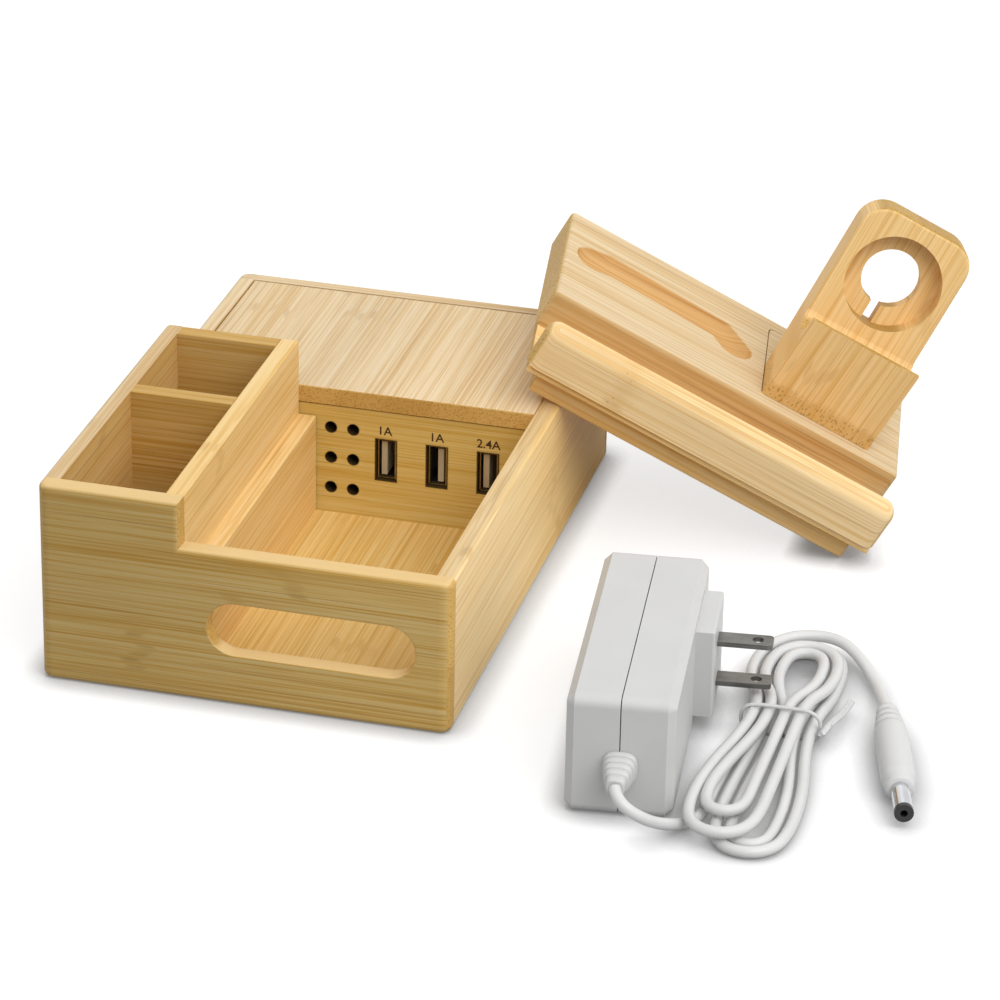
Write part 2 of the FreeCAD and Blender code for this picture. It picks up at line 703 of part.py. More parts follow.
def lean_frame():
    """The dock's frame: its tongue lies on the front wall's edge, its low corner on the floor."""
    slope = math.radians(S.lean_slope_angle)
    turn = math.radians(S.lean_turn_angle)
    up = V(0, -math.sin(slope), math.cos(slope))
    down = V(0, -math.cos(slope), -math.sin(slope))
    along = down * math.cos(turn) + X_AXIS * math.sin(turn)
    across = up.cross(along)
    underside = -(S.deck_thickness + S.tongue_thickness)
    edge_centre = V(0, S.edge_round - S.tray_width / 2, S.low_height - S.edge_round)
    height = up.dot(edge_centre) + S.edge_round + S.lean_gap
    inset = S.wall + S.fit_gap
    corner = along * (value(TONGUE_LENGTH) + inset) + across * inset + up * underside
    rise = height - underside
    drop = (S.floor_gap - corner.z - rise * up.z) / down.z
    origin = up * rise + down * drop + X_AXIS * S.lean_x
    matrix = FreeCAD.Matrix(along.x, across.x, up.x, origin.x, along.y, across.y, up.y, origin.y,
                            along.z, across.z, up.z, origin.z, 0, 0, 0, 1)
    return FreeCAD.Placement(matrix)


def dock(frame):
    tongue = box("tongue_blank", (TONGUE_LENGTH, TONGUE_DEPTH, "tongue_thickness"),
                 ("wall + fit_gap", "wall + fit_gap", "-deck_thickness - tongue_thickness"))
    underside = -S.deck_thickness - S.tongue_thickness
    tongue_soft = rounded("tongue_rounded", tongue, S.edge_round / 2,
                          lambda edge: near(edge.BoundBox.ZMin, underside))
    keep("dock_tongue", tongue_soft, frame=frame)
    deck_size = (f"{DOCK_LENGTH} - 2 * deck_inset", f"{DOCK_DEPTH} - 2 * deck_inset", "deck_thickness")
    deck = box("deck_blank", deck_size, ("deck_inset", "deck_inset", "-deck_thickness"))
    keep("dock_deck", deck, frame=frame)
    bar = box("bar_blank", (DOCK_LENGTH, "bar_thickness", "bar_height"), ("0", "0", "0"))
    bar_soft = rounded("bar_rounded", bar, S.bar_round, lambda edge: edge.BoundBox.ZMax > S.bar_height / 2)
    keep("dock_front_bar", bar_soft, frame=frame)

    block = box("block_blank", (DOCK_LENGTH, f"{DOCK_DEPTH} - {BLOCK_FRONT_V}", "block_height"),
                ("0", BLOCK_FRONT_V, "0"))
    block_soft = rounded("block_softened", block, S.block_round,
                         lambda edge: edge.BoundBox.ZMax > S.block_height / 2)
    pocket = box("pocket_blank", ("pocket_width", "pocket_length", "pocket_depth + overrun"),
                 ("pocket_left", POCKET_FRONT_V, "block_height - pocket_depth"))
    pocket_soft = rounded("pocket_softened", pocket, S.pocket_round, lambda edge: runs_along(edge, Z_AXIS))
    level = S.block_height + S.groove_radius - S.groove_depth
    groove = [V(S.groove_left_u, S.groove_left_v, level), V(S.groove_rise_u, S.groove_rise_v, level),
              V(S.groove_fall_u, S.groove_fall_v, level), V(S.groove_right_u, S.groove_right_v, level)]
    balls = [Part.makeSphere(S.groove_ball_radius, place) for place in groove]
    runs = [Part.makeCylinder(S.groove_radius, (end - start).Length, start, end - start)
            for start, end in zip(groove, groove[1:])]
    cutter = balls[0].fuse(balls[1:] + runs)
    carved = cut("block_cut", block_soft, pocket_soft, raw("groove_cutter", cutter))
    keep("dock_back_block", carved, frame=frame)


def watch_stand(frame):
    foot_front = S.bar_thickness + S.phone_channel + S.pocket_front_strip + S.stand_gap
    foot_left = S.pocket_left + S.stand_gap
    width = S.pocket_width - 2 * S.stand_gap
    seat = S.block_height
    under_foot = "block_height - pocket_depth + stand_gap"
    foot = box("foot_blank", (FOOT_WIDTH, FOOT_LENGTH, "pocket_depth - stand_gap"),
               ("pocket_left + stand_gap", f"{POCKET_FRONT_V} + stand_gap", under_foot))
    foot_soft = rounded("foot_softened", foot, S.pocket_round, lambda edge: runs_along(edge, Z_AXIS))
    screw_v = f"{POCKET_FRONT_V} + stand_gap + stand_plate_foot_v"
    screw_tops = [(f"pocket_left + pocket_width / 2 {sign} pocket_width / 4", screw_v) for sign in "-+"]
    holes = [rod(f"foot_hole_{n}", "screw_radius", "pocket_depth + 2 * overrun",
                 (u, v, f"{under_foot} - overrun"))
             for n, (u, v) in enumerate(screw_tops)]
    sinks = [rod(f"foot_sink_{n}", "screw_head_radius", "screw_head_height + overrun",
                 (u, v, f"{under_foot} - overrun"))
             for n, (u, v) in enumerate(screw_tops)]
    keep("stand_foot_plate", cut("foot_drilled", foot_soft, *holes, *sinks), frame=frame)

    lean = math.radians(S.stand_lean_angle)
    tilt = FreeCAD.Rotation(X_AXIS, -S.stand_lean_angle)
    rise = V(0, math.sin(lean), math.cos(lean))
    back = V(0, math.cos(lean), -math.sin(lean))
    base = V(foot_left, foot_front, seat)
    lip_top = base + V(0, S.stand_lip, S.stand_front_height)
    plate_foot = base + V(0, S.stand_plate_foot_v, S.stand_plate_foot_w)
    plate_rear = plate_foot + back * (2 * S.stand_edge_round)
    block_rear = plate_rear - rise * ((plate_rear.z - seat) / rise.z)
    cove = (lip_top + plate_foot) / 2
    cove.z = lip_top.z - S.stand_cove_depth
    front = [base, base + Z_AXIS * S.stand_front_height, lip_top]
    rear = [plate_foot, plate_rear, block_rear, base]
    edges = [Part.LineSegment(a, b).toShape() for a, b in zip(front, front[1:])]
    edges.append(Part.Arc(lip_top, cove, plate_foot).toShape())
    edges += [Part.LineSegment(a, b).toShape() for a, b in zip(rear, rear[1:])]
    shelf = raw("stand_shelf", Part.Face(Part.Wire(edges)).extrude(X_AXIS * width))

    root = S.stand_plate_foot_w + S.stand_plate_thickness
    plate = doc.addObject("Part::Box", "plate_blank")
    bind(plate, Length=FOOT_WIDTH, Width="stand_plate_thickness",
         Height="stand_plate_length + stand_plate_foot_w + stand_plate_thickness")
    plate.Placement = FreeCAD.Placement(plate_foot - rise * root, tilt)
    plate_top = plate_foot + rise * S.stand_plate_length

    def along_plate(edge):
        """The edge's middle, as its distance below the plate's top and behind the plate's front."""
        reach = middle(edge) - plate_top
        return -reach.dot(rise), reach.dot(back)

    def top_corner(edge):
        return runs_along(edge, back) and near(along_plate(edge)[0], 0)

    def rim(edge):
        below, behind = along_plate(edge)
        face = near(behind, 0) or near(behind, S.stand_plate_thickness)
        return face and below < S.stand_plate_length + root - S.stand_lip and not runs_along(edge, back)

    plate_round = rounded("plate_rounded", plate, S.stand_top_round, top_corner)
    plate_soft = rounded("plate_soft", plate_round, S.stand_edge_round, rim)
    below_size = (f"{FOOT_WIDTH} + 2 * overrun", f"2 * {FOOT_LENGTH}", "2 * stand_plate_foot_w")
    below_seat = box("below_seat", below_size,
                     ("pocket_left + stand_gap - overrun", f"{POCKET_FRONT_V} - {FOOT_LENGTH} / 2",
                      "block_height - 2 * stand_plate_foot_w"))
    upright = fuse("upright_blank", shelf, cut("plate_trimmed", plate_soft, below_seat))
    centre = plate_foot + rise * S.puck_height + X_AXIS * (width / 2)
    mouth = centre - back * S.overrun
    recess = Part.makeCylinder(S.puck_radius, S.puck_depth + S.overrun, mouth, back)
    hole = Part.makeCylinder(S.puck_hole_radius, S.stand_plate_thickness + 2 * S.overrun, mouth, back)
    slot = Part.makeBox(S.cable_slot_width, S.stand_plate_thickness + 2 * S.overrun, S.puck_radius)
    slot.Placement = FreeCAD.Placement(mouth - X_AXIS * (S.cable_slot_width / 2) - rise * S.puck_radius, tilt)
    carvings = [raw("puck_recess", recess), raw("puck_hole", hole), raw("cable_slot", slot)]
    soft = cut("upright_carved", upright, *carvings)
    bores = [rod(f"stand_bore_{n}", "screw_radius", "screw_length", (u, v, "block_height - overrun"))
             for n, (u, v) in enumerate(screw_tops)]
    keep("watch_stand_upright", cut("upright_bored", soft, *bores), frame=frame)
    screws = []
    for n, (u, v) in enumerate(screw_tops):
        head = rod(f"foot_screw_{n}_head", "screw_head_radius", "screw_head_height", (u, v, under_foot))
        shank = rod(f"foot_screw_{n}_shank", "screw_radius",
                    "pocket_depth - stand_gap + screw_length - overrun", (u, v, under_foot))
        screws.append(fuse(f"foot_screw_{n}", head, shank))
    keep("stand_screws", *screws, frame=frame)


# Power adapter

def adapter_frame():
    return FreeCAD.Placement(V(S.adapter_x, S.adapter_y, 0), FreeCAD.Rotation(Z_AXIS, S.adapter_angle))


def adapter(frame):
    half = "(adapter_width / 2)"
    cavity = box("adapter_cavity", ("adapter_depth - 2 * adapter_wall", "adapter_width - 2 * adapter_wall",
                                    "adapter_height - 2 * adapter_wall"),
                 ("adapter_wall", f"adapter_wall - {half}", "adapter_wall"))
    block_seat = box("block_seat", ("block_length", "adapter_wall + 2 * overrun", "block_tall"),
                     ("block_front", f"-{half} - overrun", "block_bottom"))
    relief_seat = rod("relief_seat", "relief_tip_radius", "adapter_wall + 2 * overrun",
                      ("-overrun", "relief_side", "relief_z"), X_AXIS)
    case = box("case_blank", ("adapter_depth", "adapter_width", "adapter_height"), ("0", f"-{half}", "0"))
    soft = rounded("case_softened", case, S.adapter_end_round, lambda edge: runs_along(edge, Y_AXIS))
    bevelled = rounded("case_bevelled", soft, S.adapter_chamfer,
                       lambda edge: near(edge.BoundBox.YMin, edge.BoundBox.YMax), "Chamfer")
    hollow = cut("case_hollow", bevelled, cavity, relief_seat, block_seat)
    side_size = ("adapter_depth + 2 * overrun", f"{half} + overrun", "adapter_height + 2 * overrun")
    for name, at in (("left", "seam_gap / 2"), ("right", f"-seam_gap / 2 - {half} - overrun")):
        side = box(f"{name}_side", side_size, ("-overrun", at, "-overrun"))
        shell = doc.addObject("Part::Common", f"{name}_shell")
        shell.Base = hollow
        shell.Tool = side
        doc.recompute()
        keep(f"adapter_{name}_shell", shell, frame=frame)

    block = box("plug_block_blank", ("block_length", "block_proud + adapter_wall", "block_tall"),
                ("block_front", f"-{half} - block_proud", "block_bottom"))
    block_soft = rounded("plug_block_soft", block, S.block_edge,
                         lambda edge: near(edge.BoundBox.YMax, -S.adapter_width / 2 - S.block_proud))
    blades = []
    seats = []
    face = -S.adapter_width / 2 - S.block_proud
    blade_size = ("blade_width", "blade_length + block_proud + adapter_wall", "blade_thickness")
    blade_middle = "(block_front + blade_inset)"
    blade_end = f"(-{half} - block_proud - blade_length)"
    for n, sign in enumerate("-+"):
        level = f"block_bottom + block_tall / 2 {sign} blade_pitch / 2 - blade_thickness / 2"
        at = (f"{blade_middle} - blade_width / 2", blade_end, level)
        seats.append(box(f"blade_seat_{n}", blade_size, at))
        blank = box(f"blade_{n}_blank", blade_size, at)
        tip = rounded(f"blade_{n}_tip", blank, S.blade_thickness * S.blade_tip_share,
                      lambda edge: runs_along(edge, Z_AXIS) and middle(edge).y < face)
        hole = rod(f"blade_{n}_hole", "blade_hole_radius", "blade_thickness + 2 * overrun",
                   (blade_middle, f"{blade_end} + blade_hole_inset", f"{level} - overrun"))
        blades.append(cut(f"blade_{n}", tip, hole))
    keep("plug_block", cut("plug_block_cut", block_soft, *seats), frame=frame)
    keep("plug_blades", *blades, frame=frame)

    relief = strain_relief()
    keep("strain_relief", raw("relief_solid", relief), frame=frame)
    board_size = ("adapter_depth - 2 * adapter_wall - 2 * adapter_board_margin",
                  "adapter_width - 2 * adapter_wall - 2 * fit_gap", "board_thickness")
    board_at = ("adapter_wall + adapter_board_margin", f"adapter_wall + fit_gap - {half}",
                "adapter_board_height")
    keep("adapter_board", box("adapter_board_blank", board_size, board_at), frame=frame)
    top = "adapter_board_height + board_thickness"
    core = box("core_blank", ("core_length", "core_width", "core_height"),
               ("core_front", "-core_width / 2", top))
    core_soft = rounded("core_soft", core, S.block_edge, lambda edge: runs_along(edge, Z_AXIS))
    keep("transformer", core_soft, frame=frame)
    bulk = [rod(f"bulk_{n}", "bulk_radius", "bulk_length",
                ("bulk_front", f"{sign} (bulk_radius + fit_gap)", top))
            for n, sign in enumerate("-+")]
    keep("adapter_capacitors", *bulk, frame=frame)


def turned(points):
    """A solid of revolution about X from the outline's places along X and its radii."""
    closed = [V(points[0][0], 0, 0)] + [V(x, 0, r) for x, r in points] + [V(points[-1][0], 0, 0)]
    return Part.Face(Part.makePolygon(closed + closed[:1])).revolve(V(), X_AXIS, 360)


def ribbed(start, end, first_radius, last_radius, ribs, depth):
    """Outline of a taper with square grooves: places along X with their radii."""
    steps = 2 * ribs
    points = []
    for n in range(steps):
        groove = depth if n % 2 else 0
        for share in (n / steps, (n + 1) / steps):
            radius = first_radius + (last_radius - first_radius) * share
            points.append((start + (end - start) * share, radius - groove))
    return points


def strain_relief():
    """Ribbed boot on the adapter's front, from its plug inside the wall to its tip."""
    shoulder = S.relief_length / (2 * RELIEF_RIBS + 1)
    inner = [(S.adapter_wall, S.relief_tip_radius), (0, S.relief_tip_radius), (0, S.relief_base_radius)]
    taper = ribbed(-shoulder, -S.relief_length + shoulder, S.relief_base_radius, S.relief_tip_radius,
                   RELIEF_RIBS, S.relief_groove)
    outline = inner + [(-shoulder, S.relief_base_radius)] + taper[1:]
    outline.append((-S.relief_length, S.relief_tip_radius))
    solid = turned(outline)
    solid.translate(V(0, S.relief_side, S.relief_z))
    return solid


# Cord

def hank_key(k):
    """Place and heading of the hank's key point k, from the hank's centre: along it, across it, up."""
    loops_in = min(k, HANK_KEYS - k) / KEYS_PER_LOOP
    shrink = S.hank_step * loops_in
    waist = S.hank_waist_width - S.hank_waist_step * loops_in
    climb = min(max((k - CLIMB_FROM) / (CLIMB_TO - CLIMB_FROM), 0), 1)
    level = S.cord_radius + S.hank_floor_gap + S.hank_layer * climb
    lower = S.hank_lower_width - shrink
    upper = S.hank_upper_width - shrink
    raised = level + S.hank_waist_lift
    return [
        (V(-S.hank_lobe_reach, -lower, level), X_AXIS),
        (V(S.hank_waist_at, -waist, raised), X_AXIS),
        (V(S.hank_lobe_reach, -upper, level), X_AXIS),
        (V(S.hank_top - shrink, 0, level), Y_AXIS),
        (V(S.hank_lobe_reach, upper, level), -X_AXIS),
        (V(S.hank_waist_at, waist, raised), -X_AXIS),
        (V(-S.hank_lobe_reach, lower, level), -X_AXIS),
        (V(shrink - S.hank_bottom, 0, level), -Y_AXIS),
    ][k % KEYS_PER_LOOP]


def on_floor(point):
    """A point given along and across the hank, in the part's frame."""
    return V(S.hank_x + point.x, S.hank_y - point.y, point.z)


def hank():
    keys = [hank_key(k) for k in range(HANK_KEYS + 1)]
    edges = []
    for (start, heading), (end, arrival) in zip(keys, keys[1:]):
        leaving = V(heading.x, -heading.y, 0)
        arriving = V(arrival.x, -arrival.y, 0)
        edges += biarc(on_floor(start), leaving, on_floor(end), arriving)
    path = Part.Wire(edges)
    points = path.discretize(Distance=S.cord_radius)
    least = min((a - b).Length for n, a in enumerate(points) for b in points[n + NEIGHBOURS:])
    gap = least - 2 * S.cord_radius
    solid = sweep(path, S.cord_radius)
    share = solid.Volume / (math.pi * S.cord_radius ** 2 * path.Length)
    print("hank length", round(path.Length, 1), "least gap", round(gap, 2), "volume share", round(share, 4))
    return solid


def plug_frame():
    start = on_floor(PLUG_START)
    turn = FreeCAD.Rotation(Z_AXIS, S.plug_angle)
    return FreeCAD.Placement(V(start.x, start.y, S.plug_handle_radius), turn)


def cord(frame):
    tip = frame.multVec(V(-S.relief_length, S.relief_side, S.relief_z))
    joint = on_floor(hank_key(0)[0])
    hanging = [tip + frame.Rotation.multVec(step) for step in LEAD_ROUTE]
    lead = [tip] + hanging + [on_floor(point) for point in LEAD_JOIN] + [joint]
    keep("cord_lead", raw("lead_tube", tube(lead, S.cord_radius, "cord_lead")))
    keep("cord_hank", raw("hank_tube", hank()))
    plug = plug_frame()
    tail = [on_floor(hank_key(HANK_KEYS)[0])] + [on_floor(point) for point in TAIL_ROUTE] + [plug.Base]
    keep("cord_tail", raw("tail_tube", tube(tail, S.cord_radius, "cord_tail")))

    boot = ribbed(0, S.plug_boot_length, S.plug_boot_radius, S.plug_handle_radius, PLUG_RIBS, S.plug_rib)
    body = [(S.plug_handle_length * S.plug_body_share, S.plug_handle_radius),
            (S.plug_handle_length, S.plug_nose_radius)]
    keep("plug_handle", raw("handle_solid", turned(boot + body)), frame=plug)
    handle_end = V(S.plug_handle_length, 0, 0)
    sleeve = Part.makeCylinder(S.plug_sleeve_radius, S.plug_sleeve_length, handle_end, X_AXIS)
    sleeve = sleeve.cut(Part.makeCylinder(S.plug_sleeve_bore, S.plug_sleeve_length, handle_end, X_AXIS))
    keep("plug_sleeve", raw("sleeve_solid", sleeve), frame=plug)
    core = Part.makeCylinder(S.plug_sleeve_bore, S.plug_sleeve_length, handle_end, X_AXIS)
    sleeve_end = handle_end + X_AXIS * S.plug_sleeve_length
    ring = Part.makeCylinder(S.plug_sleeve_radius, S.plug_tip_length, sleeve_end, X_AXIS)
    contact_start = handle_end + X_AXIS * S.plug_tip_length
    contact = Part.makeCylinder(S.plug_tip_bore, S.plug_sleeve_length, contact_start, X_AXIS)
    keep("plug_tip", raw("tip_solid", core.fuse(ring).removeSplitter().cut(contact)), frame=plug)
    twist_tie()


def twist_tie():
    """A closed loop of thin wire round the hank's waist, with its two twisted ends."""
    along = S.hank_waist_at
    clear = S.cord_radius + S.tie_clearance + S.tie_radius
    left = hank_key(LEFT_WAIST_KEY)[0].y - clear
    right = hank_key(RIGHT_WAIST_KEY)[0].y + clear
    low = S.tie_radius
    high = S.cord_radius + S.hank_floor_gap + S.hank_waist_lift + S.hank_layer + clear
    corners = [V(along, left, low), V(along, right, low), V(along, right, high), V(along, left, high)]
    edges = []
    for n, corner in enumerate(corners):
        back = (corners[n - 1] - corner).normalize()
        ahead = (corners[(n + 1) % len(corners)] - corner).normalize()
        first = corner + back * S.tie_corner
        last = corner + ahead * S.tie_corner
        crown = corner + (back + ahead) * (S.tie_corner * (1 - math.cos(math.pi / len(corners))))
        following = corners[(n + 1) % len(corners)] - ahead * S.tie_corner
        edges.append(Part.Arc(on_floor(first), on_floor(crown), on_floor(last)).toShape())
        edges.append(Part.LineSegment(on_floor(last), on_floor(following)).toShape())
    loop = sweep(Part.Wire(edges), S.tie_radius)
    knot = on_floor(V(along, right + 2 * S.tie_radius + S.tie_clearance / 4, high / 2))
    angle = math.radians(S.tie_tail_angle)
    tails = []
    for reach, turn in ((S.tie_tail_length, angle), (S.tie_tail_length / 2, math.pi - angle)):
        heading = V(math.cos(turn), -math.sin(turn), 0)
        tails.append(Part.makeCylinder(S.tie_radius, reach, knot + heading * S.tie_radius, heading))
    keep("twist_tie", raw("tie_loop", loop), raw("tie_tails", tails[0].fuse(tails[1]).removeSplitter()))


def write():
    """Check every object of the document, then write one file for each sub-part."""
    doc.recompute()
    for item in doc.Objects:
        if {"Invalid", "Error"} & set(item.State):
            raise RuntimeError(f"{item.Label} failed: {item.State}")
    for node in NODES:
        if node.Shape.isNull() or not node.Shape.isValid() or not node.Shape.Solids:
            raise RuntimeError(f"{node.Label} has no valid shape")
    os.makedirs("parts", exist_ok=True)
    for node in NODES:
        node.Shape.exportStep(f"parts/{node.Label}.step")
    print(len(NODES), "sub-parts")


def main():
    lean = lean_frame()
    tray_walls()
    tray_boards()
    electronics()
    dock(lean)
    watch_stand(lean)
    beside = adapter_frame()
    adapter(beside)
    cord(beside)
    write()


main()
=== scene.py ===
import math

import bmesh
import bpy
from mathutils import Matrix, Vector


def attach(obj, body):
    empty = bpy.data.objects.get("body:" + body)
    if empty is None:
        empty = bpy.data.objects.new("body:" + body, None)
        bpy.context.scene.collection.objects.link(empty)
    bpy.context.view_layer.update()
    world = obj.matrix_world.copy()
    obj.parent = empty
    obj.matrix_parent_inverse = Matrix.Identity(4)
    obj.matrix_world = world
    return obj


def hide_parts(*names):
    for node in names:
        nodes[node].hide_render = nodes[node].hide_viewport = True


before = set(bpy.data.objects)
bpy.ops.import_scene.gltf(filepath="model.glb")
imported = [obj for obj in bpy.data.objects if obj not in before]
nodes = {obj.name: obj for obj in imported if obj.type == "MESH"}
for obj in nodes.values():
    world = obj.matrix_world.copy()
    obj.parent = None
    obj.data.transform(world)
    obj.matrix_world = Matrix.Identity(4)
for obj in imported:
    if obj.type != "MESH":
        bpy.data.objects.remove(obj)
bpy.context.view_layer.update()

MM = 0.001
HALF = 0.5
X_AXIS = Vector((1, 0, 0))
Y_AXIS = Vector((0, 1, 0))
Z_AXIS = Vector((0, 0, 1))

# Camera: place, axes and focal length of the photograph
IMAGE_WIDTH = 1000
FOCAL_PIXELS = 4596.2
SENSOR_WIDTH = 36.0
EYE = Vector((-1.20520, -0.35560, 0.64086))
EYE_RIGHT = Vector((0.253982, -0.967041, 0.018035))
EYE_DOWN = Vector((-0.423923, -0.128060, -0.896599))
EYE_AHEAD = Vector((0.869358, 0.220074, -0.442476))

# Light levels, spreads in degrees, and directions towards the lamps
WORLD_LEVEL = 0.42
KEY_LEVEL = 1.60
KEY_SPREAD = 50
KEY_FROM = Vector((-0.46, -0.48, 0.75))
OVERHEAD_LEVEL = 1.05
OVERHEAD_SPREAD = 120
OVERHEAD_FROM = Vector((0.0, 0.0, 1.0))
FILL_LEVEL = 0.65
FILL_SPREAD = 60
FILL_FROM = Vector((0.1, -0.95, 0.25))

# Floor: half its side, its drop, how it lights and shows, and the painted contact shadow, a narrow dark band
# under the object
FLOOR_HALF = 3.0
FLOOR_DROP = 0.0001
FLOOR_BOUNCE = 0.36
FLOOR_SHADE = 0.34
FLOOR_GLOW = 0.72
CONTACT_REACH = 0.009
CONTACT_START = 0.5
CONTACT_SHADOW_DARK = 0.2
CONTACT_SAMPLES = 4

# Frames of the leaning dock and of the lying adapter, as in the part's source
DOCK_ORIGIN = Vector((18.9, -53.0, 64.51)) * MM
DOCK_ALONG = Vector((0.16900, -0.86317, -0.47572))
DOCK_ACROSS = Vector((0.98561, 0.14801, 0.08157))
DOCK_UP = Vector((0.0, -0.48266, 0.87580))
BLOCK_HEIGHT = 13.5 * MM
ADAPTER_BASE = Vector((-128.2, -118.3, 0.0)) * MM
ADAPTER_YAW = math.radians(6.6)

# Cord: the route's points of the part's source, in millimetres
CORD_RADIUS = 1.7
RELIEF_TIP = Vector((-12.5, -0.3, 16.0))
LEAD_ROUTE = [(-3.0, -0.8, -0.8), (-5.2, -4.0, -3.2), (-3.4, -8.6, -6.8), (2.0, -12.4, -11.0)]
LEAD_JOIN = [(-50.6, -17.4, 1.9), (-43.0, -13.6, 1.9)]
TAIL_ROUTE = [
    (48.0, -16.8, 5.8), (59.0, -11.0, 5.8), (62.6, -1.5, 5.8), (61.0, 6.0, 5.5), (54.5, 12.6, 3.8),
    (45.5, 17.8, 2.6), (34.0, 22.4, 3.6),
]
PLUG_START = (23.5, 25.6, 5.0)
PLUG_TURN = math.radians(195)

# Hank: each loop's left strand from low to high, its top, its right strand from high to low, its foot
HANK_CENTRE = Vector((-80.0, -155.0, 0.0))
HANK_LOOPS = [
    ((-13.8, -11.6, -14.8), 61.5, (8.2, 6.4, 11.2), -60.0),
    ((-9.5, -7.4, -10.6), 57.2, (4.0, 2.2, 7.0), -55.6),
    ((-5.2, -2.6, -8.4), 50.4, (3.4, -1.6, -2.2), -46.5),
    ((-13.8, -6.4, -12.6), 54.8, (7.6, 2.8, 2.6), -58.5),
]
LAST_STRAND = (-17.4, -10.6, -16.8)
FIRST_UPPER_LOOP = 2
LOW_AT = -27.0
HIGH_AT = 31.0
WAIST_AT = 9.0
WAIST_RUN = 9.0
WAIST_LIFT = 1.3
FLOOR_LEVEL = 1.8
LAYER = 4.0
FOLD_SHARE = 0.8
CROWN_SHARE = 0.45

# Curves: smoothness round the section and along the line
SECTION_STEPS = 6
LINE_STEPS = 8

# Screen colours: the standard curve from screen to linear values
SCREEN_TOP = 255
SCREEN_KNEE = 0.04045
SCREEN_SLOPE = 12.92
SCREEN_OFFSET = 0.055
SCREEN_POWER = 2.4


def srgb(red, green, blue):
    """A screen colour, 0 to 255, as the linear colour that shaders take."""
    linear = []
    for part in (red, green, blue):
        share = part / SCREEN_TOP
        if share <= SCREEN_KNEE:
            linear.append(share / SCREEN_SLOPE)
        else:
            linear.append(((share + SCREEN_OFFSET) / (1 + SCREEN_OFFSET)) ** SCREEN_POWER)
    return (*linear, 1.0)


# Sockets of the mix node for colours
MIX_SHARE = 0
MIX_FIRST = 6
MIX_SECOND = 7
MIX_RESULT = 2


class Graph:
    """A material and short calls for the nodes it is made of."""

    def __init__(self, name):
        self.material = bpy.data.materials.new(name)
        self.material.use_nodes = True
        self.tree = self.material.node_tree
        self.shader = self.tree.nodes["Principled BSDF"]

    def feed(self, socket, given):
        if isinstance(given, bpy.types.NodeSocket):
            self.tree.links.new(given, socket)
        else:
            socket.default_value = given

    def node(self, kind, inputs=(), out=0, **settings):
        made = self.tree.nodes.new("ShaderNode" + kind)
        for name, setting in settings.items():
            setattr(made, name, setting)
        pairs = inputs.items() if isinstance(inputs, dict) else enumerate(inputs)
        for key, given in pairs:
            self.feed(made.inputs[key], given)
        return made.outputs[out]

    def place(self):
        return self.node("TexCoord", out="Object")

    def math(self, operation, *inputs):
        return self.node("Math", inputs, operation=operation)

    def dot(self, vector, axis):
        return self.node("VectorMath", [vector, tuple(axis)], out="Value", operation="DOT_PRODUCT")

    def offset(self, place, point):
        """The way from a fixed point to the place."""
        return self.node("VectorMath", [place, tuple(point)], operation="SUBTRACT")

    def span(self, value, low, high, start=0.0, end=1.0):
        """The value's smooth way from start to end between low and high."""
        return self.node("MapRange", [value, low, high, start, end], interpolation_type="SMOOTHSTEP")

    def weighed(self, first, first_share, second, second_share):
        """The sum of two values, each times its share."""
        one = self.math("MULTIPLY", first, first_share)
        other = self.math("MULTIPLY", second, second_share)
        return self.math("ADD", one, other)

    def sway(self, value, size):
        """A noise value as a shift to either side."""
        return self.math("MULTIPLY", self.math("SUBTRACT", value, HALF), size)

    def noise(self, vector, scale, detail=2.0, roughness=0.5):
        inputs = {"Vector": vector, "Scale": scale, "Detail": detail, "Roughness": roughness}
        return self.node("TexNoise", inputs)

    def cells(self, vector):
        """The distance to the middle of the nearest cell."""
        return self.node("TexVoronoi", {"Vector": vector, "Scale": 1.0})

    def stretched(self, along, across, depth, scales):
        """Coordinates for a texture with a scale of its own on each axis."""
        scaled = [self.math("MULTIPLY", value, scale) for value, scale in zip((along, across, depth), scales)]
        return self.node("CombineXYZ", scaled)

    def mix(self, share, first, second, blend="MIX"):
        made = self.tree.nodes.new("ShaderNodeMix")
        made.data_type = "RGBA"
        made.blend_type = blend
        for key, given in ((MIX_SHARE, share), (MIX_FIRST, first), (MIX_SECOND, second)):
            self.feed(made.inputs[key], given)
        return made.outputs[MIX_RESULT]

    def times(self, colour, factor):
        """The colour times a factor."""
        grey = self.node("CombineColor", [factor, factor, factor])
        return self.mix(1.0, colour, grey, "MULTIPLY")

    def tinted(self, share, colour, tint):
        """The colour, with a share of it seen through a tint."""
        return self.mix(share, colour, self.mix(1.0, colour, tint, "MULTIPLY"))

    def ramp(self, share, stops):
        made = self.tree.nodes.new("ShaderNodeValToRGB")
        elements = made.color_ramp.elements
        while len(elements) < len(stops):
            elements.new(HALF)
        for element, (at, colour) in zip(elements, stops):
            element.position = at
            element.color = colour
        self.feed(made.inputs[0], share)
        return made.outputs[0]

    def bump(self, height, strength, distance):
        return self.node("Bump", {"Height": height, "Strength": strength, "Distance": distance})

    def set(self, **inputs):
        for name, given in inputs.items():
            self.feed(self.shader.inputs[name.replace("_", " ")], given)


# Bamboo tones, and steps from a board's tone to its streaks
TONES = {
    "pale": (215, 191, 151),
    "straw": (243, 212, 154),
    "cream": (246, 215, 162),
    "golden": (220, 186, 117),
    "wheat": (230, 195, 132),
    # The left end wall's darker tone below is painted shade, as that wall faces away from the light
    "shaded_tan": (181, 152, 92),
    "honey": (240, 201, 137),
    "amber": (208, 180, 106),
    "umber": (196, 158, 90),
}
DARKER = (-16, -26, -36)
PLAIN = (0, 0, 0)
LIGHTER = (5, 10, 18)
THIN_LINE = (-40, -46, -46)

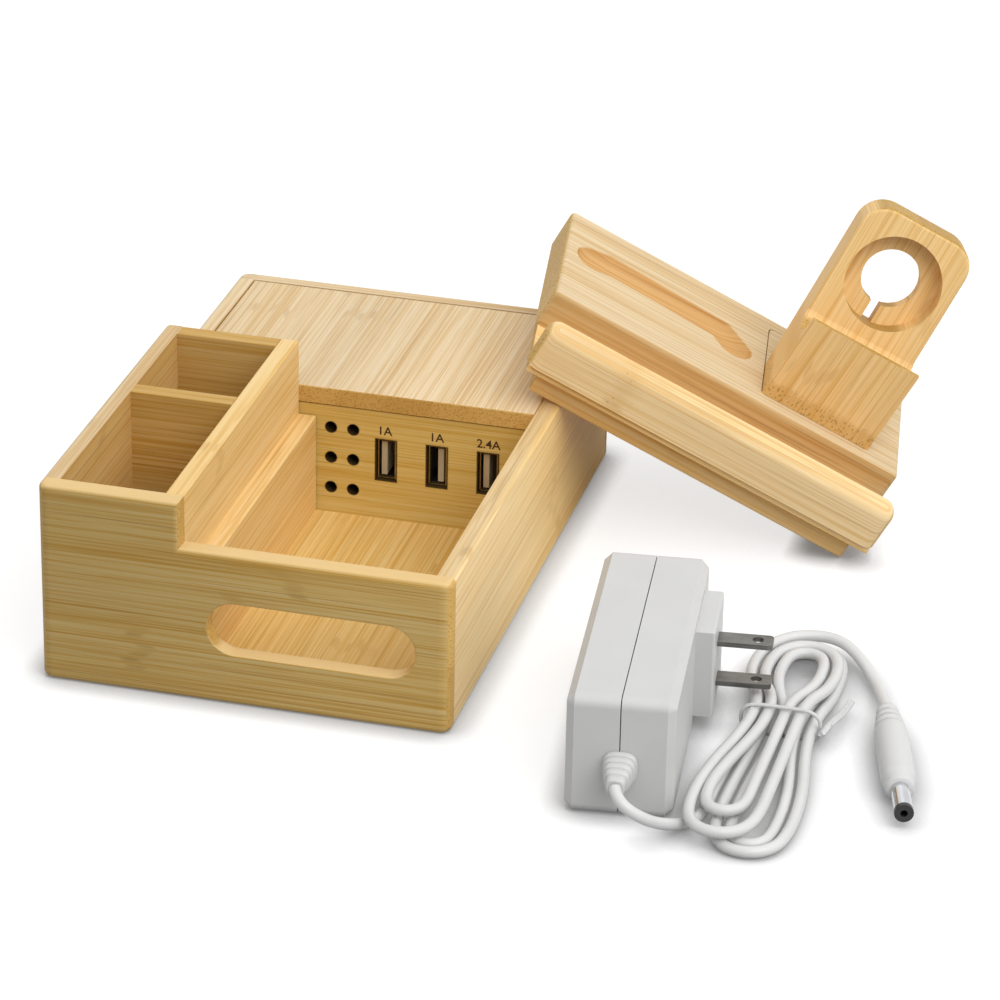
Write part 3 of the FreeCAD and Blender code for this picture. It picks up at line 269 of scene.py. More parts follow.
# Bamboo strips: width, tone and its chance, and slant of the streaks on a board's other faces
STRIP_WIDTH = 15 * MM
STRIP_TONE = 0.95
STRIP_CHANCE = 0.08
SIDE_SKEW = 0.4

# Bamboo noises: scales along, across and from strip to strip, then detail and roughness
BROAD = ((2.5, 130, 9), 2.0, 0.5)
LINES = ((8, 1200, 9), 3.0, 0.65)
THREADS = ((5, 1000, 9), 4.0, 0.7)
FIBRES = ((34, 2100, 9), 1.0, 0.5)

# Bamboo streaks: shares of the noises, stops of the tones, and where fibres and threads darken
BROAD_SHARE = 0.25
LINE_SHARE = 0.75
STREAK_STOPS = (0.37, 0.50, 0.64)
FIBRE_SPAN = (0.57, 0.68)
FIBRE_DARK = 0.50
THREAD_SPAN = (0.58, 0.64)
THREAD_DARK = 0.60

# Bamboo node bands: distance apart, reach, waviness and depth of tone
NODE_PITCH = 0.27
NODE_REACH = (1.2 * MM, 4.2 * MM)
NODE_WOBBLE = 30 * MM
NODE_LINES = (0.46, 0.60)
NODE_DARK = 0.45

# Bamboo end grain: tones of its strips, and its pores
DEEP_ENDS = (srgb(200, 164, 96), srgb(180, 142, 74))
PALE_ENDS = (srgb(216, 181, 112), srgb(196, 159, 90))
END_FACING = (0.6, 0.85)
PORE = srgb(148, 108, 54)
PORE_SCALES = (300, 1400, 1400)
PORE_SPAN = (0.15, 0.50)
PORE_DARK = 0.65

# Bamboo surface
LINE_HEIGHT = 0.6
FIBRE_HEIGHT = 0.4
WOOD_SPAN = (0.3, 0.7)
WOOD_ROUGHNESS = (0.46, 0.58)
WOOD_SPECULAR = 0.15
WOOD_BUMP = 0.2
WOOD_BUMP_DEPTH = 0.12 * MM


def shaded(tone, step):
    """A board's tone, moved by a step in red, green and blue."""
    return srgb(*[min(part + move, SCREEN_TOP) for part, move in zip(TONES[tone], step)])


def bamboo(name, tone, grain, stack, seed, carve=None, skew=SIDE_SKEW, ends=DEEP_ENDS):
    """Bamboo board with its fibres along grain and its glued strips side by side along stack."""
    g = Graph(name)
    place = g.place()
    along = g.dot(place, grain)
    depth = g.dot(place, grain.cross(stack))
    across = g.math("ADD", g.dot(place, stack), g.math("ADD", seed, g.math("MULTIPLY", depth, skew)))
    strip = g.math("FLOOR", g.math("DIVIDE", across, STRIP_WIDTH))
    luck = g.node("TexWhiteNoise", {"W": strip}, noise_dimensions="1D")
    own_along = g.math("ADD", along, luck)
    broad, lines, threads, fibres = [
        g.noise(g.stretched(own_along, across, luck, scales), 1.0, detail, roughness)
        for scales, detail, roughness in (BROAD, LINES, THREADS, FIBRES)
    ]

    streak = g.weighed(broad, BROAD_SHARE, lines, LINE_SHARE)
    tones = [shaded(tone, step) for step in (DARKER, PLAIN, LIGHTER)]
    colour = g.ramp(streak, list(zip(STREAK_STOPS, tones)))
    colour = g.times(colour, g.math("ADD", STRIP_TONE, g.math("MULTIPLY", luck, STRIP_CHANCE)))
    colour = g.mix(g.span(fibres, *FIBRE_SPAN, 0.0, FIBRE_DARK), colour, shaded(tone, DARKER))
    colour = g.mix(g.span(threads, *THREAD_SPAN, 0.0, THREAD_DARK), colour, shaded(tone, THIN_LINE))

    wavy = g.math("ADD", own_along, g.sway(broad, NODE_WOBBLE))
    turn = g.math("FRACT", g.math("DIVIDE", wavy, NODE_PITCH))
    reach = g.math("MULTIPLY", g.math("ABSOLUTE", g.math("SUBTRACT", turn, HALF)), NODE_PITCH)
    band = g.math("MULTIPLY", g.span(reach, *NODE_REACH, 1.0, 0.0), g.span(lines, *NODE_LINES))
    colour = g.mix(g.math("MULTIPLY", band, NODE_DARK), colour, shaded(tone, THIN_LINE))

    normal = g.node("NewGeometry", out="Normal")
    end = g.span(g.math("ABSOLUTE", g.dot(normal, grain)), *END_FACING)
    pores = g.cells(g.stretched(along, across, depth, PORE_SCALES))
    end_colour = g.mix(g.span(pores, *PORE_SPAN, PORE_DARK, 0.0), g.mix(luck, *ends), PORE)
    colour = g.mix(end, colour, end_colour)
    if carve is not None:
        colour = carve(g, place, normal, colour)

    height = g.weighed(lines, LINE_HEIGHT, fibres, FIBRE_HEIGHT)
    roughness = g.span(lines, *WOOD_SPAN, *WOOD_ROUGHNESS)
    g.set(Base_Color=colour, Roughness=roughness, Specular_IOR_Level=WOOD_SPECULAR)
    g.set(Normal=g.bump(height, WOOD_BUMP, WOOD_BUMP_DEPTH))
    return g.material


# Carvings: each takes a graph, the place, the face's direction and the colour, and gives the new colour
FACING = (0.6, 0.9)

# Left end wall: painted light, making its edges and slot paler, and its half towards the tray's front paler
LIT_EDGE_TONE = srgb(224, 192, 136)
LIT_EDGE_SHARE = 0.85
EDGE_FLAT = (0.5, 0.95)
EDGE_ENDWISE = (0.5, 0.8)
FRONT_LIGHT_SPAN = (-55 * MM, 55 * MM)
FRONT_LIGHT_GAIN = 1.26


def painted_light_edges(g, place, normal, colour):
    colour = g.times(colour, g.span(g.dot(place, Y_AXIS), *FRONT_LIGHT_SPAN, FRONT_LIGHT_GAIN, 1.0))
    flat = g.span(g.math("ABSOLUTE", g.dot(normal, X_AXIS)), *EDGE_FLAT, LIT_EDGE_SHARE, 0.0)
    endwise = g.span(g.math("ABSOLUTE", g.dot(normal, Y_AXIS)), *EDGE_ENDWISE, 1.0, 0.0)
    return g.mix(g.math("MULTIPLY", flat, endwise), colour, LIT_EDGE_TONE)


# Back wall: painted shade, a deeper gold on its inner face in the pen pockets
INNER_SHADE_GOLD = srgb(252, 234, 188)


def shaded_inside(g, place, normal, colour):
    return g.tinted(g.span(g.dot(normal, -Y_AXIS), *FACING), colour, INNER_SHADE_GOLD)


# Lid: painted light, paler towards the tray's front, where the leaning dock shades it
LID_LIGHT_SPAN = (-50 * MM, 20 * MM)
LID_LIGHT_GAIN = 1.14


def painted_light_front(g, place, normal, colour):
    return g.times(colour, g.span(g.dot(place, Y_AXIS), *LID_LIGHT_SPAN, LID_LIGHT_GAIN, 1.0))


# Front wall: painted shade and warm bounce light, a deeper gold towards its far end under the dock, and
# painted shade darkening its top edge
FAR_SHADE_SPAN = (-40 * MM, 60 * MM)
FAR_SHADE_GOLD = srgb(255, 243, 206)
TOP_SHADE = srgb(227, 226, 230)
TOP_FAR_SHADE = 0.5


def shaded_far_end(g, place, normal, colour):
    far = g.span(g.dot(place, X_AXIS), *FAR_SHADE_SPAN)
    top = g.span(g.dot(normal, Z_AXIS), *FACING)
    far = g.math("MULTIPLY", far, g.span(top, 0.0, 1.0, 1.0, TOP_FAR_SHADE))
    return g.tinted(top, g.tinted(far, colour, FAR_SHADE_GOLD), TOP_SHADE)


# USB panel: places of its ports and vents, and their burnt rims
PANEL_FACE = 20.0
PORT_COUNT = 3
PORT_ACROSS = -9.0
PORT_PITCH = 16.2
PORT_LEVEL = 25.6
PORTS = [Vector((PANEL_FACE, PORT_ACROSS - PORT_PITCH * n, PORT_LEVEL)) * MM for n in range(PORT_COUNT)]
PORT_HALF_WIDTH = 3.2 * MM
PORT_HALF_HEIGHT = 6.85 * MM
VENT_COLUMNS = 2
VENT_ROWS = 3
VENT_ACROSS = 8.6
VENT_LEVEL = 34.6
COLUMN_PITCH = 7.1
ROW_PITCH = 10.2
VENTS = [
    Vector((PANEL_FACE, VENT_ACROSS - COLUMN_PITCH * column, VENT_LEVEL - ROW_PITCH * row)) * MM
    for column in range(VENT_COLUMNS)
    for row in range(VENT_ROWS)
]
VENT_RADIUS = 1.8 * MM
PANEL_PLANE = (0, 1, 1)
BURN = 0.38 * MM
BURN_SHARE = 0.95
BURN_SCALE = 2600.0
BURNT = srgb(38, 24, 12)


def burnt_rims(g, place, normal, colour):
    across = g.dot(place, Y_AXIS)
    up = g.dot(place, Z_AXIS)
    ragged = g.math("MULTIPLY", g.noise(place, BURN_SCALE), BURN)
    for port in PORTS:
        aside = g.math("ABSOLUTE", g.math("SUBTRACT", across, port.y))
        above = g.math("ABSOLUTE", g.math("SUBTRACT", up, port.z))
        beside = g.math("SUBTRACT", aside, PORT_HALF_WIDTH)
        beyond = g.math("SUBTRACT", above, PORT_HALF_HEIGHT)
        outside = g.math("SUBTRACT", g.math("MAXIMUM", beside, beyond), ragged)
        colour = g.mix(g.span(outside, 0.0, BURN, BURN_SHARE, 0.0), colour, BURNT)
    for vent in VENTS:
        flat = g.node("VectorMath", [g.offset(place, vent), PANEL_PLANE], operation="MULTIPLY")
        far = g.node("VectorMath", [flat], out="Value", operation="LENGTH")
        colour = g.mix(g.span(far, VENT_RADIUS, VENT_RADIUS + BURN, BURN_SHARE, 0.0), colour, BURNT)
    return colour


# Dock's block: where the cut groove lies along and across the dock, and how deep it starts
GROOVE_ALONG = (1.5 * MM, 70 * MM)
GROOVE_ACROSS = (42 * MM, 68 * MM)
GROOVE_START = 0.2 * MM
GROOVE_GOLD = srgb(242, 216, 178)
CHANNEL_GOLD = srgb(250, 236, 206)


def cut_faces(g, place, normal, colour):
    """Golden wood in the pen groove, and a paler gold on the wall along the phone channel."""
    spot = g.offset(place, DOCK_ORIGIN)
    top = BLOCK_HEIGHT - GROOVE_START
    inside = g.span(g.dot(spot, DOCK_UP), top - GROOVE_START, top, 1.0, 0.0)
    for axis, (low, high) in ((DOCK_ALONG, GROOVE_ALONG), (DOCK_ACROSS, GROOVE_ACROSS)):
        value = g.dot(spot, axis)
        inside = g.math("MULTIPLY", inside, g.math("GREATER_THAN", value, low))
        inside = g.math("MULTIPLY", inside, g.math("LESS_THAN", value, high))
    colour = g.tinted(inside, colour, GROOVE_GOLD)
    return g.tinted(g.span(g.dot(normal, -DOCK_ACROSS), *FACING), colour, CHANNEL_GOLD)


# Knots: golden dotted bands above the watch stand's foot and across the front bar
KNOT_GOLD = srgb(204, 154, 78)
DOT_DARK = 0.6
FOOT_KNOT = (3.5 * MM, 7 * MM)
FOOT_WAVE = 4 * MM
FOOT_WAVE_SCALE = 160.0
FOOT_GOLD = 0.5
FOOT_CELLS = (700, 1300, 1300)
FOOT_DOTS = (0.18, 0.42)
BAR_KNOT_AT = 29.6 * MM
BAR_KNOT = 6 * MM
BAR_WAVE = 5 * MM
BAR_WAVE_SCALE = 200.0
BAR_GOLD = 0.18
BAR_CELLS = (420, 520, 520)
BAR_DOTS = (0.11, 0.17)


def dotted(g, colour, zone, gold, cells, dots):
    """Golden wood with dark dots in a zone."""
    colour = g.mix(g.math("MULTIPLY", zone, gold), colour, KNOT_GOLD)
    spots = g.span(g.cells(cells), *dots, DOT_DARK, 0.0)
    return g.mix(g.math("MULTIPLY", spots, zone), colour, PORE)


def foot_knot(g, place, normal, colour):
    spot = g.offset(place, DOCK_ORIGIN)
    level = g.math("SUBTRACT", g.dot(spot, DOCK_UP), BLOCK_HEIGHT)
    wave = g.sway(g.noise(place, FOOT_WAVE_SCALE), FOOT_WAVE)
    zone = g.span(g.math("ADD", level, wave), *FOOT_KNOT, 1.0, 0.0)
    cells = g.stretched(level, g.dot(spot, DOCK_ALONG), g.dot(spot, DOCK_ACROSS), FOOT_CELLS)
    return dotted(g, colour, zone, FOOT_GOLD, cells, FOOT_DOTS)


def bar_knot(g, place, normal, colour):
    spot = g.offset(place, DOCK_ORIGIN)
    along = g.dot(spot, DOCK_ALONG)
    wave = g.sway(g.noise(place, BAR_WAVE_SCALE), BAR_WAVE)
    aside = g.math("ABSOLUTE", g.math("SUBTRACT", g.math("ADD", along, wave), BAR_KNOT_AT))
    zone = g.span(aside, 0.0, BAR_KNOT, 1.0, 0.0)
    cells = g.stretched(along, g.dot(spot, DOCK_UP), g.dot(spot, DOCK_ACROSS), BAR_CELLS)
    return dotted(g, colour, zone, BAR_GOLD, cells, BAR_DOTS)


# Plain finishes: two colours, roughness, metallic share and grit
FINISHES = {
    "cord_white": ((206, 206, 205), (210, 210, 209), 0.36, 0.0, 0.05),
    "boot_white": ((196, 196, 195), (199, 199, 198), 0.42, 0.0, 0.08),
    "tie_white": ((200, 200, 200), (206, 206, 206), 0.45, 0.0, 0.05),
    "tongue_plastic": ((172, 158, 132), (190, 176, 150), 0.5, 0.0, 0.12),
    "board_mask": ((24, 78, 46), (30, 96, 58), 0.4, 0.0, 0.12),
    "chip_plastic": ((28, 28, 30), (40, 40, 42), 0.5, 0.0, 0.12),
    "ferrite": ((52, 52, 55), (70, 70, 74), 0.7, 0.0, 0.4),
    "can_sleeve": ((150, 152, 156), (178, 180, 184), 0.35, 0.8, 0.12),
    "brass": ((196, 160, 84), (214, 180, 104), 0.35, 1.0, 0.12),
    "steel": ((176, 178, 180), (200, 202, 204), 0.35, 1.0, 0.12),
    "wire_cover": ((26, 26, 27), (38, 38, 40), 0.5, 0.0, 0.12),
    "case_white": ((196, 196, 195), (199, 199, 198), 0.42, 0.0, 0.10),
    "sleeve_chrome": ((196, 197, 200), (214, 215, 218), 0.16, 1.0, 0.03),
    "tip_black": ((20, 20, 21), (32, 32, 33), 0.38, 0.0, 0.12),
    "mark_brown": ((52, 32, 16), (66, 42, 20), 0.7, 0.0, 0.12),
}
# Nodes that wear a plain finish
WEARERS = {
    "tongue_plastic": ["usb_tongue_1", "usb_tongue_2", "usb_tongue_3"],
    "board_mask": ["circuit_board", "adapter_board"],
    "chip_plastic": ["charge_controllers", "dc_jack_body"],
    "ferrite": ["power_inductors", "transformer"],
    "can_sleeve": ["filter_capacitors", "adapter_capacitors"],
    "brass": ["dc_jack_pin", "board_posts"],
    "steel": ["board_screws", "stand_screws", "dc_jack_nut"],
    "wire_cover": ["jack_wires"],
    "case_white": ["adapter_left_shell", "adapter_right_shell", "plug_block"],
    "sleeve_chrome": ["plug_sleeve"],
    "tip_black": ["plug_tip"],
}
CLOUD_SCALE = 60.0
CLOUD_DETAIL = 3.0
CLOUD_SPAN = (0.3, 0.7)
GRAIN_SCALE = 3600.0
GRAIN_SPAN = (0.2, 0.8)
GRAIN_ROUGHNESS = 0.06
GRAIN_DEPTH = 0.05 * MM


def scuffed(name):
    """A plain finish with fine mottling, faint wear and a grained surface."""
    first, second, roughness, metallic, grit = FINISHES[name]
    g = Graph(name)
    place = g.place()
    clouds = g.noise(place, CLOUD_SCALE, CLOUD_DETAIL)
    grain = g.noise(place, GRAIN_SCALE)
    wear = g.span(grain, *GRAIN_SPAN, roughness - GRAIN_ROUGHNESS, roughness + GRAIN_ROUGHNESS)
    g.set(Base_Color=g.mix(g.span(clouds, *CLOUD_SPAN), srgb(*first), srgb(*second)))
    g.set(Roughness=wear, Metallic=metallic, Normal=g.bump(grain, grit, GRAIN_DEPTH))
    return g.material


# Blades: rolled steel with fine scratches
BLADE_DARK = srgb(100, 99, 96)
BLADE_LIGHT = srgb(132, 131, 127)
SCRATCH_SCALES = (60, 2600, 2600)
SCRATCH_SHARE = 0.6
STAIN_SHARE = 0.4
STAIN_SCALE = 160.0
BLADE_DETAIL = 3.0
BLADE_ROUGHNESS = (0.26, 0.44)
BLADE_BUMP = 0.15
METAL_DEPTH = 0.03 * MM


def blade_steel():
    """Rolled steel with fine scratches along the blades."""
    g = Graph("blade_steel")
    place = g.place()
    axis = Matrix.Rotation(ADAPTER_YAW, 3, "Z") @ Y_AXIS
    side = axis.cross(Z_AXIS).normalized()
    ways = [g.dot(place, way) for way in (axis, side, Z_AXIS)]
    lines = g.noise(g.stretched(*ways, SCRATCH_SCALES), 1.0, BLADE_DETAIL)
    stains = g.noise(place, STAIN_SCALE, BLADE_DETAIL)
    shade = g.weighed(lines, SCRATCH_SHARE, stains, STAIN_SHARE)
    g.set(Base_Color=g.mix(g.span(shade, *CLOUD_SPAN), BLADE_DARK, BLADE_LIGHT), Metallic=1.0)
    g.set(Roughness=g.span(lines, *GRAIN_SPAN, *BLADE_ROUGHNESS))
    g.set(Normal=g.bump(lines, BLADE_BUMP, METAL_DEPTH))
    return g.material


# Socket shells: plated rim, and where the painted shade inside begins
SHELL_SHADE_SPAN = (21.7 * MM, 22.6 * MM)
SHELL_PAINTED_SHADE = srgb(26, 24, 22)
PLATED_DARK = srgb(128, 112, 80)
PLATED_LIGHT = srgb(160, 140, 100)
PLATED_SCALE = 900.0
PLATED_DETAIL = 3.0
PLATED_ROUGHNESS = (0.28, 0.42)
PLATED_BUMP = 0.1


def port_shell():
    """Socket shell: plated rim, painted shade inside."""
    g = Graph("plated_shell")
    place = g.place()
    inside = g.span(g.dot(place, X_AXIS), *SHELL_SHADE_SPAN)
    stains = g.noise(place, PLATED_SCALE, PLATED_DETAIL)
    plated = g.mix(g.span(stains, *CLOUD_SPAN), PLATED_DARK, PLATED_LIGHT)
    g.set(Base_Color=g.mix(inside, plated, SHELL_PAINTED_SHADE), Metallic=g.math("SUBTRACT", 1.0, inside))
    g.set(Roughness=g.span(stains, *GRAIN_SPAN, *PLATED_ROUGHNESS))
    g.set(Normal=g.bump(stains, PLATED_BUMP, METAL_DEPTH))
    return g.material


def dress(material, *names):
    for name in names:
        nodes[name].data.materials.clear()
        nodes[name].data.materials.append(material)


def dress_tray():
    # The left end wall's darker tone is painted shade; its paler edges and front half are painted light
    dress(bamboo("bamboo_left_end", "shaded_tan", Y_AXIS, Z_AXIS, seed=0.512, carve=painted_light_edges), "left_end_wall")
    dress(bamboo("bamboo_right_end", "pale", Y_AXIS, Z_AXIS, seed=0.931), "right_end_wall")
    dress(bamboo("bamboo_front", "straw", X_AXIS, Z_AXIS, seed=0.140, carve=shaded_far_end), "front_wall")
    dress(bamboo("bamboo_back", "pale", X_AXIS, Z_AXIS, seed=0.733, carve=shaded_inside), "back_wall")
    dress(bamboo("bamboo_divider", "wheat", X_AXIS, Z_AXIS, seed=0.377), "pen_divider", "ledge_board")
    dress(bamboo("bamboo_cross", "umber", Y_AXIS, Z_AXIS, seed=0.258), "pen_cross_divider", "pen_end_wall")
    dress(bamboo("bamboo_base", "golden", X_AXIS, Y_AXIS, seed=0.644), "base_panel", "lid_rails")
    dress(bamboo("bamboo_lid", "pale", X_AXIS, Y_AXIS, seed=0.815, carve=painted_light_front), "chamber_lid")
    dress(bamboo("bamboo_panel", "amber", Y_AXIS, Z_AXIS, seed=0.301, carve=burnt_rims), "usb_panel")


def dress_dock():
    lying = (DOCK_ALONG, DOCK_ACROSS)
    block = bamboo("bamboo_block", "pale", *lying, seed=0.423, carve=cut_faces, ends=PALE_ENDS)
    bar = bamboo("bamboo_bar", "cream", DOCK_ALONG, DOCK_UP, seed=0.266, carve=bar_knot, ends=PALE_ENDS)
    stand = bamboo("bamboo_stand", "honey", DOCK_UP, DOCK_ALONG, seed=0.538, carve=foot_knot, skew=0.0)
    dress(block, "dock_back_block")
    dress(bar, "dock_front_bar")
    dress(stand, "watch_stand_upright")
    dress(bamboo("bamboo_deck", "honey", *lying, seed=0.905), "dock_deck")
    dress(bamboo("bamboo_tongue", "honey", *lying, seed=0.719), "dock_tongue")
    dress(bamboo("bamboo_foot", "pale", *lying, seed=0.352), "stand_foot_plate")


def dress_small():
    dress(port_shell(), "usb_shell_1", "usb_shell_2", "usb_shell_3")
    dress(blade_steel(), "plug_blades")
    for name, wearers in WEARERS.items():
        dress(scuffed(name), *wearers)


def add(name, data, material, body, slot, *replaced, place=None):
    """Put a new piece on a body, in place of the solids it stands for."""
    piece = bpy.data.objects.new(name, data)
    bpy.context.scene.collection.objects.link(piece)
    piece.data.materials.append(material)
    if place is not None:
        piece.matrix_world = place
    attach(piece, body)
    if replaced:
        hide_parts(*replaced)
    return piece


def lofted(name, rings):
    """A closed, smooth mesh through rings of points, each with the same count."""
    mesh = bmesh.new()
    rows = [[mesh.verts.new(point) for point in ring] for ring in rings]
    for first, second in zip(rows, rows[1:]):
        for n in range(len(first)):
            after = (n + 1) % len(first)
            mesh.faces.new((first[n], first[after], second[after], second[n]))
    sides = list(mesh.faces)
    mesh.faces.new(list(reversed(rows[0])))
    mesh.faces.new(rows[-1])
    bmesh.ops.recalc_face_normals(mesh, faces=mesh.faces)
    for face in sides:
        face.smooth = True
    data = bpy.data.meshes.new(name)
    mesh.to_mesh(data)
    mesh.free()
    return data


def on_adapter(point):
    """A point of the adapter's frame, in millimetres, in the row frame."""
    return ADAPTER_BASE + Matrix.Rotation(ADAPTER_YAW, 3, "Z") @ (Vector(point) * MM)


def on_hank(point):
    """A point given along and across the hank, in millimetres, in the row frame."""
    along, across, up = point
    return (HANK_CENTRE + Vector((along, -across, up))) * MM


def fold(reach, first, second, level):
    """Four points round an end of the hank, from the strand at first to the strand at second."""
    half = abs(second - first) / 2
    middle = (second + first) / 2
    inset = reach - math.copysign(FOLD_SHARE * half, reach)
    crown = CROWN_SHARE * (second - middle)
    return [
        (inset, first, level),
        (reach, middle - crown, level),
        (reach, middle + crown, level),
        (inset, second, level),
    ]


def rising(strand, low, high):
    """A left strand, from the hank's foot to its top."""
    foot, waist, top = strand
    lifted = low + WAIST_LIFT
    return [
        (LOW_AT, foot, low),
        (WAIST_AT - WAIST_RUN, waist, lifted),
        (WAIST_AT + WAIST_RUN, waist, lifted),
        (HIGH_AT, top, high),
    ]


def falling(strand, level):
    """A right strand, from the hank's top to its foot."""
    top, waist, foot = strand
    lifted = level + WAIST_LIFT
    return [
        (HIGH_AT, top, level),
        (WAIST_AT + WAIST_RUN, waist, lifted),
        (WAIST_AT - WAIST_RUN, waist, lifted),
        (LOW_AT, foot, level),
    ]


def hank_points():
    """Control points of the hank's loops: up its left, round its top, down its right, round its foot."""
    points = []
    low = FLOOR_LEVEL
    following = [loop[0] for loop in HANK_LOOPS[1:]] + [LAST_STRAND]
    for n, (left, top, right, foot) in enumerate(HANK_LOOPS):
        high = FLOOR_LEVEL + LAYER if n >= FIRST_UPPER_LOOP else FLOOR_LEVEL
        points += rising(left, low, high)
        points += fold(top, left[-1], right[0], high)
        points += falling(right, high)
        points += fold(foot, right[-1], following[n][0], high)
        low = high
    return points + rising(LAST_STRAND, low, low)


def cord_points():
    """Control points of the whole cord: its lead, the hank's loops, its tail."""
    lead = [on_adapter(RELIEF_TIP)] + [on_adapter(RELIEF_TIP + Vector(step)) for step in LEAD_ROUTE]
    return lead + [on_hank(point) for point in LEAD_JOIN + hank_points() + TAIL_ROUTE + [PLUG_START]]


def smooth_curve(name, lines, radius):
    """A curve object's data with one open NURBS spline for each line of control points."""
    data = bpy.data.curves.new(name, "CURVE")
    data.dimensions = "3D"
    data.bevel_depth = radius
    data.bevel_resolution = SECTION_STEPS
    data.use_fill_caps = True
    for points in lines:
        spline = data.splines.new("NURBS")
        spline.points.add(len(points) - 1)
        for control, point in zip(spline.points, points):
            control.co = (*point, 1.0)
        spline.order_u = 3
        spline.use_endpoint_u = True
        spline.resolution_u = LINE_STEPS
    return data


def lathe(stations, count=48):
    """Rings about X from places along it and radii, in millimetres."""
    turns = [2 * math.pi * n / count for n in range(count)]
    return [[Vector((x, r * math.cos(t), r * math.sin(t))) * MM for t in turns] for x, r in stations]


# Barrel plug's handle: places along it and radii, in millimetres
HANDLE = [
    (0.0, 1.9), (0.0, 2.9), (0.4, 3.2), (2.6, 3.4), (2.9, 3.0), (3.7, 3.0), (4.0, 3.7), (6.4, 3.9),
    (6.7, 3.4), (7.5, 3.4), (7.8, 4.2), (10.2, 4.4), (10.5, 3.9), (11.3, 3.9), (11.6, 4.6), (13.0, 4.8),
    (16.0, 4.9), (30.0, 5.0), (39.5, 5.0), (40.2, 4.9), (41.0, 4.5), (43.6, 4.25), (44.6, 4.1),
    (45.0, 3.7), (45.0, 2.8),
]

# Grip ridges: where they start and end on the handle, their pitch, and how far round its sides they go
RIDGES_START = (17 * MM, 18 * MM)
RIDGES_END = (37 * MM, 38 * MM)
RIDGE_PITCH = 0.9 * MM
RIDGE_SIDES = (0.35, 0.6)
RIDGE_HEIGHT = 0.5
GRIP_GRAIN = 0.1
GRIP_GRAIN_SCALE = 3000.0
GRIP_ROUGHNESS = 0.42
GRIP_BUMP = 0.5
GRIP_DEPTH = 0.2 * MM
GRIP_DARK = srgb(202, 202, 201)
GRIP_LIGHT = srgb(206, 206, 205)

# Strain relief: places along the boot and half widths, in millimetres, and how square its section is
BOOT = [
    (0.0, 4.7), (0.6, 4.9), (1.4, 4.9), (1.8, 4.6), (2.2, 4.3), (2.6, 4.6), (3.8, 4.5), (4.2, 4.2),
    (4.6, 3.9), (5.0, 4.2), (6.2, 4.0), (6.6, 3.7), (7.0, 3.4), (7.4, 3.7), (8.6, 3.5), (9.0, 3.2),
    (9.4, 2.9), (9.8, 3.1), (11.4, 2.7), (12.2, 2.5), (12.5, 2.2),
]
BOOT_SQUARE = 3.2


def boot_rings(count=40):
    """Rounded-square rings along the boot, in the adapter's frame."""
    rings = []
    for x, half in BOOT:
        ring = []
        for n in range(count):
            turn = 2 * math.pi * n / count
            side = math.cos(turn)
            up = math.sin(turn)
            reach = half * (abs(side) ** BOOT_SQUARE + abs(up) ** BOOT_SQUARE) ** (-1 / BOOT_SQUARE)
            ring.append(on_adapter((-x, RELIEF_TIP.y + reach * side, RELIEF_TIP.z + reach * up)))
        rings.append(ring)
    return rings


def grip():
    """White moulding with rows of fine grip ridges on the plug's body."""
    g = Graph("grip_white")
    place = g.place()
    grain = g.noise(place, GRIP_GRAIN_SCALE)
    along = g.dot(place, X_AXIS)
    body = g.math("MULTIPLY", g.span(along, *RIDGES_START), g.span(along, *RIDGES_END, 1.0, 0.0))
    wave = g.math("SINE", g.math("MULTIPLY", along, 2 * math.pi / RIDGE_PITCH))
    upright = g.math("ABSOLUTE", g.dot(g.node("TexCoord", out="Normal"), Z_AXIS))
    ridges = g.math("MULTIPLY", g.math("MULTIPLY", wave, body), g.span(upright, *RIDGE_SIDES, 1.0, 0.0))
    height = g.weighed(ridges, RIDGE_HEIGHT, grain, GRIP_GRAIN)
    clouds = g.span(g.noise(place, CLOUD_SCALE), *CLOUD_SPAN)
    g.set(Base_Color=g.mix(clouds, GRIP_DARK, GRIP_LIGHT), Roughness=GRIP_ROUGHNESS)
    g.set(Normal=g.bump(height, GRIP_BUMP, GRIP_DEPTH))
    return g.material


def add_cord():
    boot = lofted("relief_boot", boot_rings())
    add("relief_boot", boot, scuffed("boot_white"), "adapter", "cord_white", "strain_relief")
    turn = Matrix.Translation(on_hank(PLUG_START)) @ Matrix.Rotation(PLUG_TURN, 4, "Z")
    body = lofted("plug_grip", lathe(HANDLE))
    handle = add("plug_grip", body, grip(), "adapter", "cord_white", "plug_handle", place=turn)
    tie = add_tie()
    points = cord_points()
    data = smooth_curve("cord", [points], CORD_RADIUS * MM)
    replaced = ("cord_lead", "cord_hank", "cord_tail")
    cord = add("cord", data, scuffed("cord_white"), "adapter", "cord_white", *replaced)


# Twist tie: its loop's places across the hank and heights, its knot, and its tail's lengths and rises
TIE_RADIUS = 0.55
TIE_LOOP = [
    (9.0, 3.0), (9.0, 1.55), (7.0, 0.55), (0.0, 0.55), (-12.2, 0.55), (-14.2, 2.55), (-14.2, 7.2),
    (-11.2, 9.7), (0.0, 9.7), (6.0, 9.7), (9.0, 7.2), (9.0, 5.0),
]
TIE_KNOT = Vector((5.0, 10.1, 4.85))
TIE_TAIL = [(0.0, 0.0), (4.0, -0.48), (8.0, -1.2), (13.0, -1.68), (18.0, -0.96)]
TIE_TURN = math.radians(10)
TIE_TWIST = 6.0
TIE_TWIST_TURNS = 3
TIE_TWIST_STEPS = 8
TIE_WIRES = (-0.55, 0.0, 0.55)


